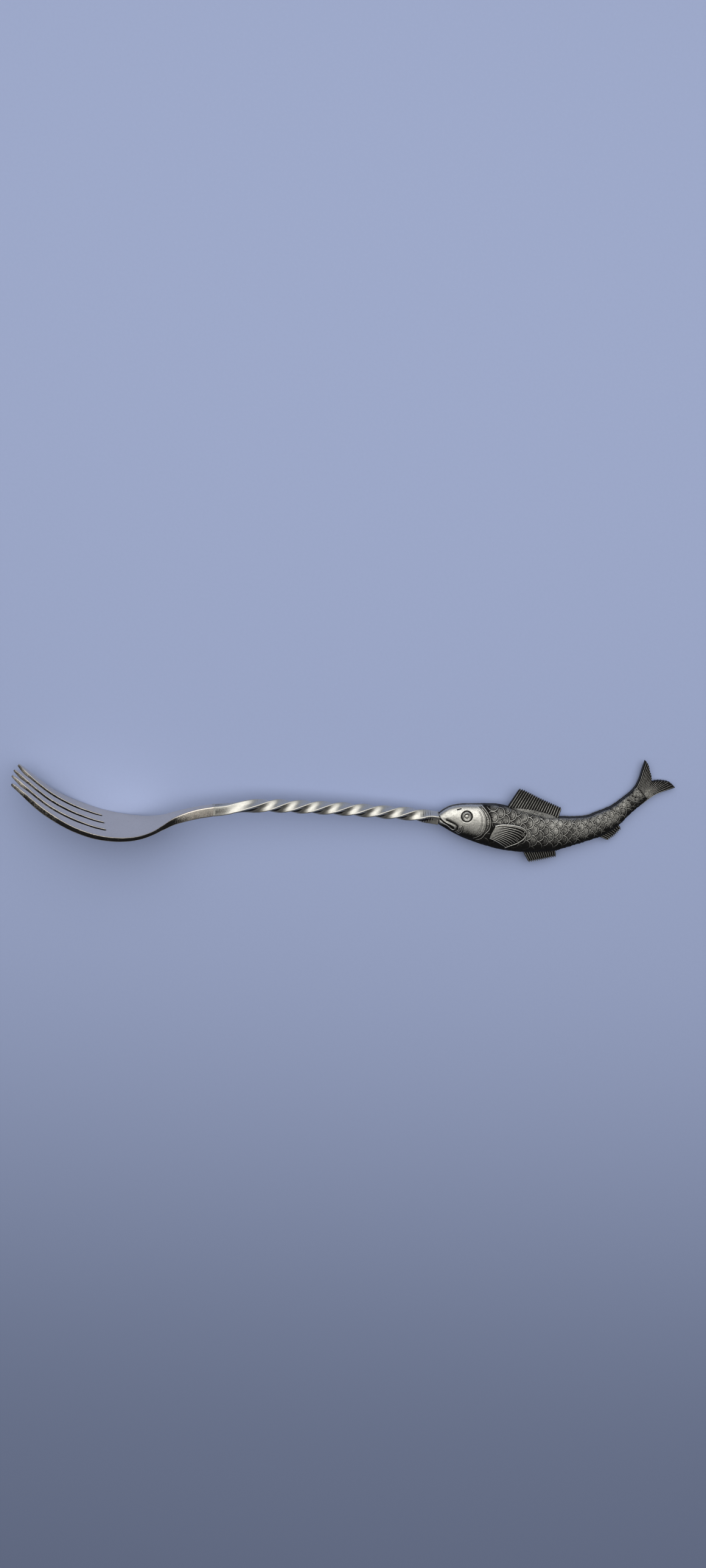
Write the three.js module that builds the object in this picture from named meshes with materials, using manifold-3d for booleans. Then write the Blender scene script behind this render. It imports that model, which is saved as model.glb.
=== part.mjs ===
import * as THREE from 'three';
import { mergeVertices } from 'three/addons/utils/BufferGeometryUtils.js';
import Module from 'manifold-3d';

// Sardine fork with a twisted stem and a fish on the end of its handle. Millimetres.
// The pieces are drawn in one working frame: X runs from the tines to the fish's tail, Y points to
// the hollow side of the head and Z runs across the head. The finished fork then lies on its side,
// on the edge of its head and the cheek of the fish, as it comes to rest on a table.

const wasm = await Module();
wasm.setup();

// Rest on the table.
const REST_ROLL = THREE.MathUtils.degToRad(1.82);
const REST_PITCH = THREE.MathUtils.degToRad(3.78);

// Forged head: four tines, a flat palm and a neck that narrows to the square bar of the stem.
const HEAD_END = -5.5;
const HEAD_LENGTH = 41.6;
const HEAD_HALF_WIDTH = 8.7;
const HEAD_DEPTH = 10;
const HEAD_THICKNESS = 1.2;
const HEAD_RINGS = 44;
const PALM_FLAT_SHARES = [0.51, 0.59];
const TINES = 4;
const SLOT_LENGTH = 18.9;
const SLOT_LENGTH_SHARES = [0.975, 1.01, 1.04];
const SLOT_ROOT_WIDTH = 1;
const SLOT_MOUTH_WIDTH = 1.95;
const SLOT_ROOT_PITCH = 4.35;
const SLOT_MOUTH_PITCH = 3.95;
const TINE_TIP_WIDTH = 0.6;
const TINE_TIP_LENGTH = 3.8;
const TIP_SWELL_SHARE = 0.35;
const TIP_CLEARANCE = 0.1;
const OUTER_TINE_SETBACK = 0.45;
const PLAN_OVERRUN = 2;
const PLAN_CURVE_STEPS = 6;
const PLATE_CORNER_SHARE = 0.3;
const KEEL_DEPTH = 0.3;

// Height of the hollow face over the top of the neck: place along the head from the tine tips to
// the neck joint, then a share of the head's depth.
const FACE_SHARES = [
  [0, 0.458], [0.026, 0.4], [0.075, 0.251], [0.123, 0.093], [0.171, -0.052], [0.219, -0.173],
  [0.267, -0.274], [0.315, -0.359], [0.363, -0.427], [0.411, -0.486], [0.459, -0.526],
  [0.555, -0.563], [0.603, -0.558], [0.651, -0.533], [0.7, -0.478], [0.748, -0.387],
  [0.796, -0.275], [0.844, -0.185], [0.892, -0.111], [0.94, -0.053], [1, 0],
];

// Thickness along the head, as shares of the palm's, and how far it has become the bar's.
const THICKNESS_SHARES = [
  [0, 0.4], [0.026, 0.62], [0.05, 0.7], [0.106, 0.9], [0.18, 1.02], [0.26, 0.98], [0.41, 0.95],
  [0.49, 0.9], [0.565, 0.85], [0.64, 0.77], [0.69, 0.72], [0.75, 0.75], [1, 0.75],
];
const NECK_BLEND_SHARES = [
  [0, 0], [0.7, 0], [0.75, 0.16], [0.79, 0.42], [0.827, 0.67], [0.87, 0.85], [0.91, 0.94],
  [0.96, 1], [1, 1],
];

// How far the middle of the underside hangs below the edges where the palm gathers into the neck.
const KEEL_SHARES = [[0, 0], [0.6, 0], [0.7, 0.7], [0.75, 1], [0.8, 0.6], [0.87, 0], [1, 0]];

// Half width along the head: 1 is the widest part of the palm and 0 is the bar.
const WIDTH_SHARES = [
  [0, 0.784], [0.075, 0.797], [0.123, 0.818], [0.171, 0.842], [0.219, 0.88], [0.267, 0.935],
  [0.315, 0.978], [0.363, 1], [0.411, 0.995], [0.459, 0.978], [0.507, 0.944], [0.555, 0.893],
  [0.603, 0.819], [0.651, 0.706], [0.7, 0.55], [0.748, 0.338], [0.796, 0.158], [0.844, 0.068],
  [0.892, 0.02], [0.94, 0], [1, 0],
];

// Square bar of the stem, twisted to the left.
const BAR_SIDE = 2.25;
const BAR_CORNER = 0.32;
const FLANK_HOLLOW = 0.08;
const HOLLOW_START_SHARE = 0.15;
const STEM_LENGTH = 47.6;
const TWIST_TURN = THREE.MathUtils.degToRad(794);
const TWIST_END_SHARE = 0.985;
const TWIST_EASE_IN_SHARE = 0.25;
const TWIST_EASE_OUT_SHARE = 0.05;
const STEM_RINGS = 76;
const CORNER_POINTS = 3;
const TENON_LENGTH = 5;
const TENON_RADIUS = 0.75;
const TENON_SIDES = 16;

// Height of the stem's axis along its length, as shares of the side of the bar.
const STEM_AXIS_SHARES = [
  [0, -0.5], [0.05, -0.34], [0.1, -0.1], [0.17, 0.133], [0.267, 0.267], [0.364, 0.32],
  [0.563, 0.356], [0.662, 0.324], [0.763, 0.289], [0.864, 0.253], [0.931, 0.133], [1, -0.013],
];

// Hard solder at the neck, round the mouth and between the two halves of the fish.
const NECK_SOLDER_LENGTH = 0.12;
const NECK_SOLDER_PROUD = 0.01;
const MOUTH_SOLDER_LENGTH = 0.4;
const MOUTH_SOLDER_FIT = 0.03;
const MOUTH_SOLDER_EDGE = 0.08;
const MOUTH_SOLDER_PROUD = 0.16;
const SOLDER_RINGS = 3;
const SOLDER_CLEARANCE = 0.02;
const SEAM_THICKNESS = 0.1;
const SEAM_CLEARANCE = 0.02;
const TENON_CLEARANCE = 0.06;

// Fish, cast as two halves that meet on the middle plane of the fork.
const FISH_LENGTH = 51;
const FISH_DEPTH = 10.5;
const FISH_CROWN = 2.4;
const BODY_RIM = 0.9;
const BODY_LENGTH_STEPS = 40;
const BODY_DEPTH_STEPS = 12;
const CROWN_ROUNDNESS = 2.3;
const PIECE_SINK = 0.35;
const FLOOR_DEPTH = 0.4;
const SHORTEST_EDGE = 0.02;
const HEIGHT_SEARCH_STEPS = 24;

// Back and belly of the body at each cross line, snout first: back along, back up, belly along,
// belly up, each as a share of the fish's length or depth, then the crown's share of the greatest.
const BODY_SHARES = [
  [0, 0.1, 0.004, -0.115, 0.56],
  [0.02, 0.19, 0.024, -0.165, 0.64],
  [0.048, 0.272, 0.052, -0.235, 0.74],
  [0.083, 0.319, 0.087, -0.315, 0.86],
  [0.119, 0.34, 0.121, -0.38, 0.93],
  [0.178, 0.356, 0.176, -0.458, 1],
  [0.228, 0.363, 0.224, -0.515, 1],
  [0.264, 0.356, 0.262, -0.558, 1],
  [0.302, 0.319, 0.3, -0.58, 1],
  [0.377, 0.26, 0.37, -0.598, 0.99],
  [0.452, 0.19, 0.447, -0.572, 0.95],
  [0.508, 0.178, 0.512, -0.525, 0.9],
  [0.564, 0.182, 0.575, -0.41, 0.86],
  [0.602, 0.198, 0.619, -0.325, 0.82],
  [0.639, 0.23, 0.662, -0.242, 0.78],
  [0.674, 0.311, 0.699, -0.165, 0.74],
  [0.71, 0.396, 0.742, -0.03, 0.68],
  [0.744, 0.499, 0.781, 0.15, 0.6],
  [0.776, 0.641, 0.82, 0.38, 0.52],
  [0.808, 0.8, 0.853, 0.535, 0.46],
  [0.828, 0.94, 0.883, 0.69, 0.42],
];

// Fins. Each is bounded by a root line, a free edge and the two sides between them, and every
// point is a share of the fish's length and depth.
const FIN_RIM = 0.55;
const FIN_RAY_HEIGHT = 0.22;
const FIN_TOOTH = 0.3;
const TAIL_RIM = 0.85;
const TAIL_LENGTH_STEPS = 7;
const DORSAL = {
  rays: 20,
  rootShares: [[0.284, 0.28], [0.38, 0.2], [0.51, 0.13]],
  edgeShares: [[0.33, 0.725], [0.346, 0.71], [0.43, 0.54], [0.521, 0.374]],
};
const PELVIC = {
  rays: 14,
  rootShares: [[0.362, -0.48], [0.43, -0.46], [0.51, -0.43]],
  edgeShares: [[0.41, -0.835], [0.46, -0.77], [0.526, -0.68]],
};
const ANAL = {
  rays: 9,
  rootShares: [[0.664, -0.12], [0.712, -0.01], [0.763, 0.18]],
  edgeShares: [[0.739, -0.26], [0.767, -0.14], [0.79, 0.006]],
};
const TAIL_UPPER = {
  rays: 9,
  rootShares: [[0.794, 0.7], [0.83, 0.73], [0.86, 0.75]],
  edgeShares: [[0.85, 1.5], [0.864, 1.42], [0.876, 1.28], [0.885, 1.18], [0.89, 1.05]],
  frontShares: [[0.794, 0.7], [0.821, 0.88], [0.836, 1.08], [0.843, 1.3], [0.85, 1.5]],
  backShares: [[0.86, 0.75], [0.874, 0.88], [0.89, 1.05]],
};
const TAIL_LOWER = {
  rays: 9,
  rootShares: [[0.86, 0.75], [0.86, 0.66], [0.857, 0.56]],
  edgeShares: [[0.89, 1.05], [0.915, 1.085], [0.94, 1.09], [0.97, 1.065], [0.996, 0.97]],
  frontShares: [[0.86, 0.75], [0.874, 0.88], [0.89, 1.05]],
  backShares: [[0.857, 0.56], [0.886, 0.69], [0.92, 0.81], [0.962, 0.9], [0.996, 0.97]],
};

// Breast fin on the flank, raised over the body, with a round rim on its upper and free edges.
const BREAST = {
  rays: 11,
  rootShares: [[0.235, -0.04], [0.215, -0.18], [0.215, -0.302]],
  edgeShares: [[0.368, -0.115], [0.37, -0.175], [0.342, -0.328], [0.297, -0.462], [0.271, -0.445]],
  frontShares: [[0.235, -0.04], [0.285, 0.005], [0.325, -0.008], [0.354, -0.05], [0.368, -0.115]],
  backShares: [[0.215, -0.302], [0.245, -0.37], [0.271, -0.445]],
};
const BREAST_STEPS = 4;
const BREAST_LIFT = 0.12;
const BREAST_RIM = 0.38;

// Head of the fish: eye, gill cover and lips.
const EYE_SHARES = [0.1124, 0.11];
const EYE_RADIUS = 0.95;
const EYE_RING = 0.17;
const PUPIL_RADIUS = 0.46;
const PUPIL_SHARES = [[1, 0], [0.7, 0.36], [0, 0.5]];
const EYE_SIDES = 20;
const RIDGE_WIDTH = 0.26;
const RIDGE_HEIGHT = 0.16;
const RIDGE_STEPS = 2;
const GILL_SHARES = [
  [[0.158, 0.255], [0.173, 0.14], [0.177, 0.03], [0.172, -0.12], [0.161, -0.25]],
  [[0.158, 0.325], [0.178, 0.24], [0.191, 0.07], [0.19, -0.1], [0.177, -0.27], [0.152, -0.35]],
  [[0.165, 0.335], [0.184, 0.28], [0.202, 0.175], [0.211, 0.054], [0.209, -0.12], [0.19, -0.25],
    [0.166, -0.36]],
];
const LIP_SHARES = [
  [0.006, 0.085], [0.012, 0.02], [0.03, -0.035], [0.047, -0.075], [0.059, -0.115],
  [0.064, -0.155], [0.057, -0.176], [0.045, -0.15], [0.03, -0.105], [0.012, -0.065],
];

const palmSilver = material(0xb9b5ac, 0.3);
const stemSilver = material(0xb4afa2, 0.32);
const castSilver = material(0xa39f94, 0.38);
const solderSilver = material(0x4c4a46, 0.55);

function material(color, roughness) {
  return new THREE.MeshStandardMaterial({ color, roughness, metalness: 1 });
}

// A curve through a table of shares, each scaled by its own size.
function shareCurve(shares, across, up, startAcross) {
  const points = shares.map(([a, b]) => new THREE.Vector3(startAcross + a * across, b * up, 0));
  return new THREE.CatmullRomCurve3(points, false, 'centripetal');
}

// The value of a table of shares at a place between 0 and 1.
function shareAt(shares, place) {
  const after = Math.max(1, shares.findIndex(([at]) => at >= place));
  const [fromAt, fromValue] = shares[after - 1];
  const [toAt, toValue] = shares[after];
  return THREE.MathUtils.mapLinear(place, fromAt, toAt, fromValue, toValue);
}

// Solids: closed meshes that manifold-3d joins and cuts.
function solidFrom(positions, index) {
  return new wasm.Manifold(new wasm.Mesh({
    numProp: 3,
    vertProperties: new Float32Array(positions),
    triVerts: new Uint32Array(index),
  }));
}

function toSolid(geometry) {
  const bare = geometry.clone();
  bare.deleteAttribute('normal');
  bare.deleteAttribute('uv');
  const merged = mergeVertices(bare);
  return solidFrom(merged.attributes.position.array, merged.index.array);
}

// Draws the ends of every edge shorter than `shortest` together, where the surface stays closed
// and no face is turned over.
function withoutShortEdges(solid, shortest) {
  const mesh = solid.getMesh();
  const corners = Array.from({ length: mesh.numVert }, (_, i) => (
    new THREE.Vector3().fromArray(mesh.vertProperties, i * mesh.numProp)));
  const faces = Array.from({ length: mesh.numTri }, (_, i) => Array.from(mesh.verts(i)));
  const facesAt = corners.map(() => new Set());
  for (const face of faces) face.forEach((corner) => facesAt[corner].add(face));

  const facing = (face) => new THREE.Triangle(...face.map((corner) => corners[corner])).getNormal(
    new THREE.Vector3());
  const moved = (face, kept, gone) => face.map((corner) => (corner === gone ? kept : corner));
  const neighbours = (corner) => new Set([...facesAt[corner]].flat());
  const mayJoin = (kept, gone) => {
    if (corners[kept].distanceTo(corners[gone]) >= shortest) return false;
    const beside = neighbours(gone);
    const shared = [...neighbours(kept)].filter((corner) => beside.has(corner));
    // The two ends themselves and the two corners across the edge.
    if (shared.length !== 4) return false;
    return [...facesAt[gone]].filter((face) => !face.includes(kept))
      .every((face) => facing(face).dot(facing(moved(face, kept, gone))) > 0);
  };
  const join = (kept, gone) => {
    for (const face of [...facesAt[gone]]) {
      face.forEach((corner) => facesAt[corner].delete(face));
      if (face.includes(kept)) continue;
      face.splice(0, 3, ...moved(face, kept, gone));
      face.forEach((corner) => facesAt[corner].add(face));
    }
  };

  let before = 0;
  let left = faces;
  while (left.length !== before) {
    before = left.length;
    for (const face of left) {
      const edges = [[0, 1], [1, 2], [2, 0], [1, 0], [2, 1], [0, 2]];
      const found = edges.map(([a, b]) => [face[a], face[b]])
        .find(([a, b]) => facesAt[face[0]].has(face) && mayJoin(a, b));
      if (found) join(...found);
    }
    left = left.filter((face) => facesAt[face[0]].has(face));
  }
  return solidFrom(corners.flatMap((corner) => corner.toArray()), left.flat());
}

function toGeometry(solid) {
  const mesh = solid.getMesh();
  const geometry = new THREE.BufferGeometry();
  geometry.setAttribute('position', new THREE.BufferAttribute(mesh.vertProperties, 3));
  geometry.setIndex(new THREE.BufferAttribute(mesh.triVerts, 1));
  geometry.computeVertexNormals();
  return geometry;
}

function mirrored(geometry) {
  const copy = geometry.clone().scale(1, 1, -1);
  const index = copy.index.array;
  for (let i = 0; i < index.length; i += 3) {
    [index[i + 1], index[i + 2]] = [index[i + 2], index[i + 1]];
  }
  copy.computeVertexNormals();
  return copy;
}

function named(name, geometry, finish) {
  const mesh = new THREE.Mesh(geometry, finish);
  mesh.name = name;
  return mesh;
}

// A closed solid through rings of points, with a flat fan on each end ring.
function loft(rings) {
  const sides = rings[0].length;
  const positions = rings.flat().flatMap((point) => point.toArray());
  const index = [];
  for (let ring = 0; ring < rings.length - 1; ring += 1) {
    for (let side = 0; side < sides; side += 1) {
      const next = (side + 1) % sides;
      const a = ring * sides + side;
      const b = ring * sides + next;
      index.push(a, b, b + sides, a, b + sides, a + sides);
    }
  }
  const last = (rings.length - 1) * sides;
  for (let side = 1; side < sides - 1; side += 1) {
    index.push(0, side + 1, side);
    index.push(last, last + side, last + side + 1);
  }
  const geometry = new THREE.BufferGeometry();
  geometry.setAttribute('position', new THREE.Float32BufferAttribute(positions, 3));
  geometry.setIndex(index);
  return geometry;
}

// A relief: a grid of raised points, a flat floor of the same outline just under the middle plane,
// and walls between them. The grid runs `across` from side to side and `along` from end to end.
function relief(across, along, pointAt) {
  const positions = [];
  for (let j = 0; j <= along; j += 1) {
    for (let i = 0; i <= across; i += 1) {
      positions.push(...pointAt(i / across, j / along).toArray());
    }
  }
  const top = (i, j) => j * (across + 1) + i;
  const index = [];
  const quad = (a, b, c, d) => index.push(a, b, c, a, c, d);
  for (let j = 0; j < along; j += 1) {
    for (let i = 0; i < across; i += 1) quad(top(i, j), top(i + 1, j), top(i + 1, j + 1), top(i, j + 1));
  }
  const border = [];
  for (let i = 0; i < across; i += 1) border.push(top(i, 0));
  for (let j = 0; j < along; j += 1) border.push(top(across, j));
  for (let i = across; i > 0; i -= 1) border.push(top(i, along));
  for (let j = along; j > 0; j -= 1) border.push(top(0, j));
  const first = positions.length / 3;
  const outline = border.map((at) => new THREE.Vector2(positions[3 * at], positions[3 * at + 1]));
  outline.forEach((point) => positions.push(point.x, point.y, -FLOOR_DEPTH));
  border.forEach((at, k) => {
    const next = (k + 1) % border.length;
    quad(at, first + k, first + next, border[next]);
  });
  const clockwise = THREE.ShapeUtils.isClockWise(outline);
  for (const [a, b, c] of THREE.ShapeUtils.triangulateShape(outline, [])) {
    index.push(first + a, first + (clockwise ? b : c), first + (clockwise ? c : b));
  }
  const geometry = new THREE.BufferGeometry();
  geometry.setAttribute('position', new THREE.Float32BufferAttribute(positions, 3));
  geometry.setIndex(index);
  return facingOut(geometry);
}

// Turns a closed mesh the right way out, whichever way its grid ran.
function facingOut(geometry) {
  const position = geometry.attributes.position;
  const index = geometry.index.array;
  const [a, b, c] = [new THREE.Vector3(), new THREE.Vector3(), new THREE.Vector3()];
  let volume = 0;
  for (let i = 0; i < index.length; i += 3) {
    a.fromBufferAttribute(position, index[i]);
    b.fromBufferAttribute(position, index[i + 1]);
    c.fromBufferAttribute(position, index[i + 2]);
    volume += a.dot(b.cross(c));
  }
  if (volume > 0) return geometry;
  for (let i = 0; i < index.length; i += 3) {
    [index[i + 1], index[i + 2]] = [index[i + 2], index[i + 1]];
  }
  return geometry;
}

// Square with round corners and hollow flanks, or any rectangle like it: one ring in Z and Y. The
// keel is how far the middle of the underside hangs below its corners.
function section(halfWidth, halfHeight, corner, hollow, keel = 0) {
  const points = [];
  const quarters = [[1, 1], [-1, 1], [-1, -1], [1, -1]];
  quarters.forEach(([across, up], quarter) => {
    for (let step = 0; step < CORNER_POINTS; step += 1) {
      const angle = (quarter + step / (CORNER_POINTS - 1)) * Math.PI / 2;
      points.push(new THREE.Vector2(
        across * (halfWidth - corner) + corner * Math.cos(angle),
        up * (halfHeight - corner) + corner * Math.sin(angle),
      ));
    }
    const angle = (quarter + 1) * Math.PI / 2;
    const flank = new THREE.Vector2(Math.cos(angle), Math.sin(angle));
    flank.multiply(new THREE.Vector2(halfWidth - hollow, halfHeight - hollow));
    if (quarter === 2) flank.y -= keel;
    points.push(flank);
  });
  return points;
}

// Forked head

const HEAD_START = HEAD_END - HEAD_LENGTH;

function headHalfWidth(place) {
  return THREE.MathUtils.lerp(BAR_SIDE / 2, HEAD_HALF_WIDTH, shareAt(WIDTH_SHARES, place));
}

// One ring of the head, square to its hollow face. The last one stands upright at the neck joint.
function headRing(at, along) {
  const place = THREE.MathUtils.clamp((at.x - HEAD_START) / HEAD_LENGTH, 0, 1);
  const neck = shareAt(NECK_BLEND_SHARES, place);
  const plate = HEAD_THICKNESS * shareAt(THICKNESS_SHARES, place);
  const thickness = THREE.MathUtils.lerp(plate, BAR_SIDE, neck);
  const corner = THREE.MathUtils.lerp(plate * PLATE_CORNER_SHARE, BAR_CORNER, neck);
  const keel = KEEL_DEPTH * shareAt(KEEL_SHARES, place);
  const up = new THREE.Vector3(-along.y, along.x, 0);
  return section(headHalfWidth(place), thickness / 2, corner, 0, keel).map((point) => {
    const height = point.y - thickness / 2;
    return new THREE.Vector3(at.x, at.y, point.x).addScaledVector(up, height);
  });
}

// The bottom of the bowl has no rings across it, which leaves it flat.
function headBlank() {
  const face = shareCurve(FACE_SHARES, HEAD_LENGTH, HEAD_DEPTH, HEAD_START);
  const rings = [];
  for (let ring = 0; ring < HEAD_RINGS; ring += 1) {
    const at = face.getPointAt(ring / HEAD_RINGS);
    const place = (at.x - HEAD_START) / HEAD_LENGTH;
    const flat = place > PALM_FLAT_SHARES[0] && place < PALM_FLAT_SHARES[1];
    if (!flat) rings.push(headRing(at, face.getTangentAt(ring / HEAD_RINGS)));
  }
  rings.push(headRing(face.getPoint(1), new THREE.Vector3(1, 0, 0)));
  return toSolid(facingOut(loft(rings)));
}

// One slot between two tines, with a round root and a mouth that runs out past the tips.
function slotOutline(slot) {
  const offset = slot - (TINES - 2) / 2;
  const length = SLOT_LENGTH * SLOT_LENGTH_SHARES[slot];
  const root = new THREE.Vector2(HEAD_START + length, offset * SLOT_ROOT_PITCH);
  const mouth = new THREE.Vector2(HEAD_START, offset * SLOT_MOUTH_PITCH);
  const beyond = mouth.clone().lerp(root, -PLAN_OVERRUN / length);
  const radius = SLOT_ROOT_WIDTH / 2;
  const half = SLOT_MOUTH_WIDTH / 2;
  const shape = new THREE.Shape();
  shape.moveTo(beyond.x, beyond.y - half);
  shape.lineTo(root.x - radius, root.y - radius);
  shape.absarc(root.x - radius, root.y, radius, -Math.PI / 2, Math.PI / 2, false);
  shape.lineTo(beyond.x, beyond.y + half);
  return shape;
}

// What is filed off round the end of one tine. The inner tines end in the middle of their width,
// and the two outer ones at their outer edges and a little further back.
function tipOutline(tine) {
  const slotHalf = SLOT_MOUTH_WIDTH / 2;
  const side = { 0: -1, [TINES - 1]: 1 }[tine] ?? 0;
  const edge = headHalfWidth(TINE_TIP_LENGTH / HEAD_LENGTH) + TIP_CLEARANCE;
  const low = side < 0 ? -edge : (tine - TINES / 2) * SLOT_MOUTH_PITCH + slotHalf;
  const high = side > 0 ? edge : (tine + 1 - TINES / 2) * SLOT_MOUTH_PITCH - slotHalf;
  const half = TINE_TIP_WIDTH / 2;
  const tip = side === 0 ? (low + high) / 2 : side * (headHalfWidth(0) - half);
  const nose = HEAD_START + half + (side === 0 ? 0 : OUTER_TINE_SETBACK);
  const shoulder = nose + TINE_TIP_LENGTH;
  const swell = nose + TINE_TIP_LENGTH * TIP_SWELL_SHARE;
  const shape = new THREE.Shape();
  shape.moveTo(HEAD_START - PLAN_OVERRUN, low - slotHalf);
  shape.lineTo(shoulder, low - slotHalf);
  shape.lineTo(shoulder, low);
  shape.quadraticCurveTo(swell, low, nose, tip - half);
  shape.quadraticCurveTo(nose - 2 * half, tip, nose, tip + half);
  shape.quadraticCurveTo(swell, high, shoulder, high);
  shape.lineTo(shoulder, high + slotHalf);
  shape.lineTo(HEAD_START - PLAN_OVERRUN, high + slotHalf);
  return shape;
}

// Plan outlines are drawn in X and Z, and cut straight through the head along Y.
function planSolid(shape) {
  const depth = 2 * HEAD_DEPTH;
  const geometry = new THREE.ExtrudeGeometry(shape, {
    depth, bevelEnabled: false, curveSegments: PLAN_CURVE_STEPS,
  });
  geometry.translate(0, 0, -depth / 2);
  geometry.rotateX(Math.PI / 2);
  return toSolid(geometry);
}

function forkHead() {
  let head = headBlank();
  for (let slot = 0; slot < TINES - 1; slot += 1) {
    head = head.subtract(planSolid(slotOutline(slot)));
  }
  for (let tine = 0; tine < TINES; tine += 1) {
    head = head.subtract(planSolid(tipOutline(tine)));
  }
  return named('fork_head', toGeometry(head), palmSilver);
}

// Twisted stem

const STEM_START = HEAD_END + NECK_SOLDER_LENGTH + 2 * SOLDER_CLEARANCE;
const STEM_END = STEM_START + STEM_LENGTH;
const stemAxis = shareCurve(STEM_AXIS_SHARES, STEM_LENGTH, BAR_SIDE, STEM_START);

// Turn of the bar at a place along it: it eases in from the neck, runs evenly, and eases out.
function twistAt(place) {
  const left = Math.max(0, TWIST_END_SHARE - place);
  const rate = TWIST_TURN / (TWIST_END_SHARE - (TWIST_EASE_IN_SHARE + TWIST_EASE_OUT_SHARE) / 2);
  if (place < TWIST_EASE_IN_SHARE) return rate * place ** 2 / (2 * TWIST_EASE_IN_SHARE);
  if (left < TWIST_EASE_OUT_SHARE) return TWIST_TURN - rate * left ** 2 / (2 * TWIST_EASE_OUT_SHARE);
  return rate * (place - TWIST_EASE_IN_SHARE / 2);
}

// One upright ring of the bar, or of a sleeve that stands off its sides.
function stemRing(curvePlace, standOff = 0) {
  const centre = stemAxis.getPoint(curvePlace);
  const place = (centre.x - STEM_START) / STEM_LENGTH;
  const hollow = FLANK_HOLLOW * THREE.MathUtils.smoothstep(place, 0, HOLLOW_START_SHARE);
  const half = BAR_SIDE / 2 + standOff;
  return section(half, half, BAR_CORNER, hollow).map((corner) => {
    const point = new THREE.Vector3(0, corner.y, corner.x);
    return point.applyAxisAngle(new THREE.Vector3(1, 0, 0), -twistAt(place)).add(centre);
  });
}

function tenonGeometry(radius, length) {
  const geometry = new THREE.CylinderGeometry(radius, radius, length, TENON_SIDES);
  geometry.rotateZ(Math.PI / 2);
  const end = stemAxis.getPoint(1);
  geometry.translate(end.x - PIECE_SINK + length / 2, end.y, 0);
  return geometry;
}

function twistedStem() {
  const rings = [];
  for (let ring = 0; ring <= STEM_RINGS; ring += 1) rings.push(stemRing(ring / STEM_RINGS));
  const bar = toSolid(facingOut(loft(rings)));
  const tenon = toSolid(tenonGeometry(TENON_RADIUS, TENON_LENGTH + PIECE_SINK));
  return named('twisted_stem', toGeometry(bar.add(tenon)), stemSilver);
}

// Solder

// Thin plate of hard solder where the neck meets the stem, a little proud of both.
function neckSolder() {
  const ring = stemRing(0, NECK_SOLDER_PROUD);
  const shifted = (back) => ring.map((point) => point.clone().setX(point.x - back));
  const rings = [shifted(SOLDER_CLEARANCE + NECK_SOLDER_LENGTH), shifted(SOLDER_CLEARANCE)];
  return named('neck_solder', toGeometry(toSolid(facingOut(loft(rings)))), solderSilver);
}

// Fillet of solder round the end of the bar, widest against the fish's mouth.
function mouthSolder() {
  const sleeve = (fromGap, toGap, fromStandOff, toStandOff) => {
    const rings = [];
    for (let ring = 0; ring <= SOLDER_RINGS; ring += 1) {
      const gap = THREE.MathUtils.lerp(fromGap, toGap, ring / SOLDER_RINGS);
      const standOff = THREE.MathUtils.lerp(fromStandOff, toStandOff, (ring / SOLDER_RINGS) ** 2);
      rings.push(stemRing(1 - gap / STEM_LENGTH, standOff));
    }
    return toSolid(facingOut(loft(rings)));
  };
  const far = MOUTH_SOLDER_LENGTH + SOLDER_CLEARANCE;
  const outside = sleeve(far, SOLDER_CLEARANCE, MOUTH_SOLDER_EDGE, MOUTH_SOLDER_PROUD);
  const inside = sleeve(far + SOLDER_CLEARANCE, 0, MOUTH_SOLDER_FIT, MOUTH_SOLDER_FIT);
  return named('mouth_solder', toGeometry(outside.subtract(inside)), solderSilver);
}

// Fish

const FISH_START = STEM_END;

function fishPoint([along, up]) {
  return new THREE.Vector3(FISH_START + along * FISH_LENGTH, up * FISH_DEPTH, 0);
}

function fishCurve(shares) {
  if (shares.length === 2) return new THREE.LineCurve3(...shares.map(fishPoint));
  return new THREE.CatmullRomCurve3(shares.map(fishPoint), false, 'centripetal');
}

const backCurve = fishCurve(BODY_SHARES.map(([along, up]) => [along, up]));
const bellyCurve = fishCurve(BODY_SHARES.map(([, , along, up]) => [along, up]));

function crownAt(place) {
  const at = place * (BODY_SHARES.length - 1);
  const from = Math.min(Math.floor(at), BODY_SHARES.length - 2);
  return FISH_CROWN * THREE.MathUtils.lerp(BODY_SHARES[from][4], BODY_SHARES[from + 1][4], at - from);
}

// A point of the flank: `rise` goes from the belly to the back and `place` from snout to tail.
function flankPoint(rise, place) {
  const point = bellyCurve.getPoint(place).lerp(backCurve.getPoint(place), rise);
  const off = Math.abs(2 * rise - 1);
  const dome = Math.max(0, 1 - off ** CROWN_ROUNDNESS) ** (1 / CROWN_ROUNDNESS);
  point.z = BODY_RIM + (crownAt(place) - BODY_RIM) * dome;
  return point;
}

// Height of the flank over any point of the middle plane, found by walking along the body.
function flankHeight(target) {
  let [low, high] = [0, 1];
  for (let step = 0; step < HEIGHT_SEARCH_STEPS; step += 1) {
    const place = (low + high) / 2;
    const belly = bellyCurve.getPoint(place);
    const back = backCurve.getPoint(place);
    const side = (back.x - belly.x) * (target.y - belly.y) - (back.y - belly.y) * (target.x - belly.x);
    if (side < 0) low = place;
    else high = place;
  }
  const belly = bellyCurve.getPoint(low);
  const back = backCurve.getPoint(low);
  const rise = (target.y - belly.y) / (back.y - belly.y);
  return flankPoint(THREE.MathUtils.clamp(rise, 0, 1), low).z;
}

function body() {
  // Cross lines crowd towards the edges, where the crown falls away fastest.
  const pointAt = (s, t) => flankPoint(0.5 - 0.5 * Math.cos(Math.PI * s), t);
  return toSolid(relief(BODY_DEPTH_STEPS, BODY_LENGTH_STEPS, pointAt));
}

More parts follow.
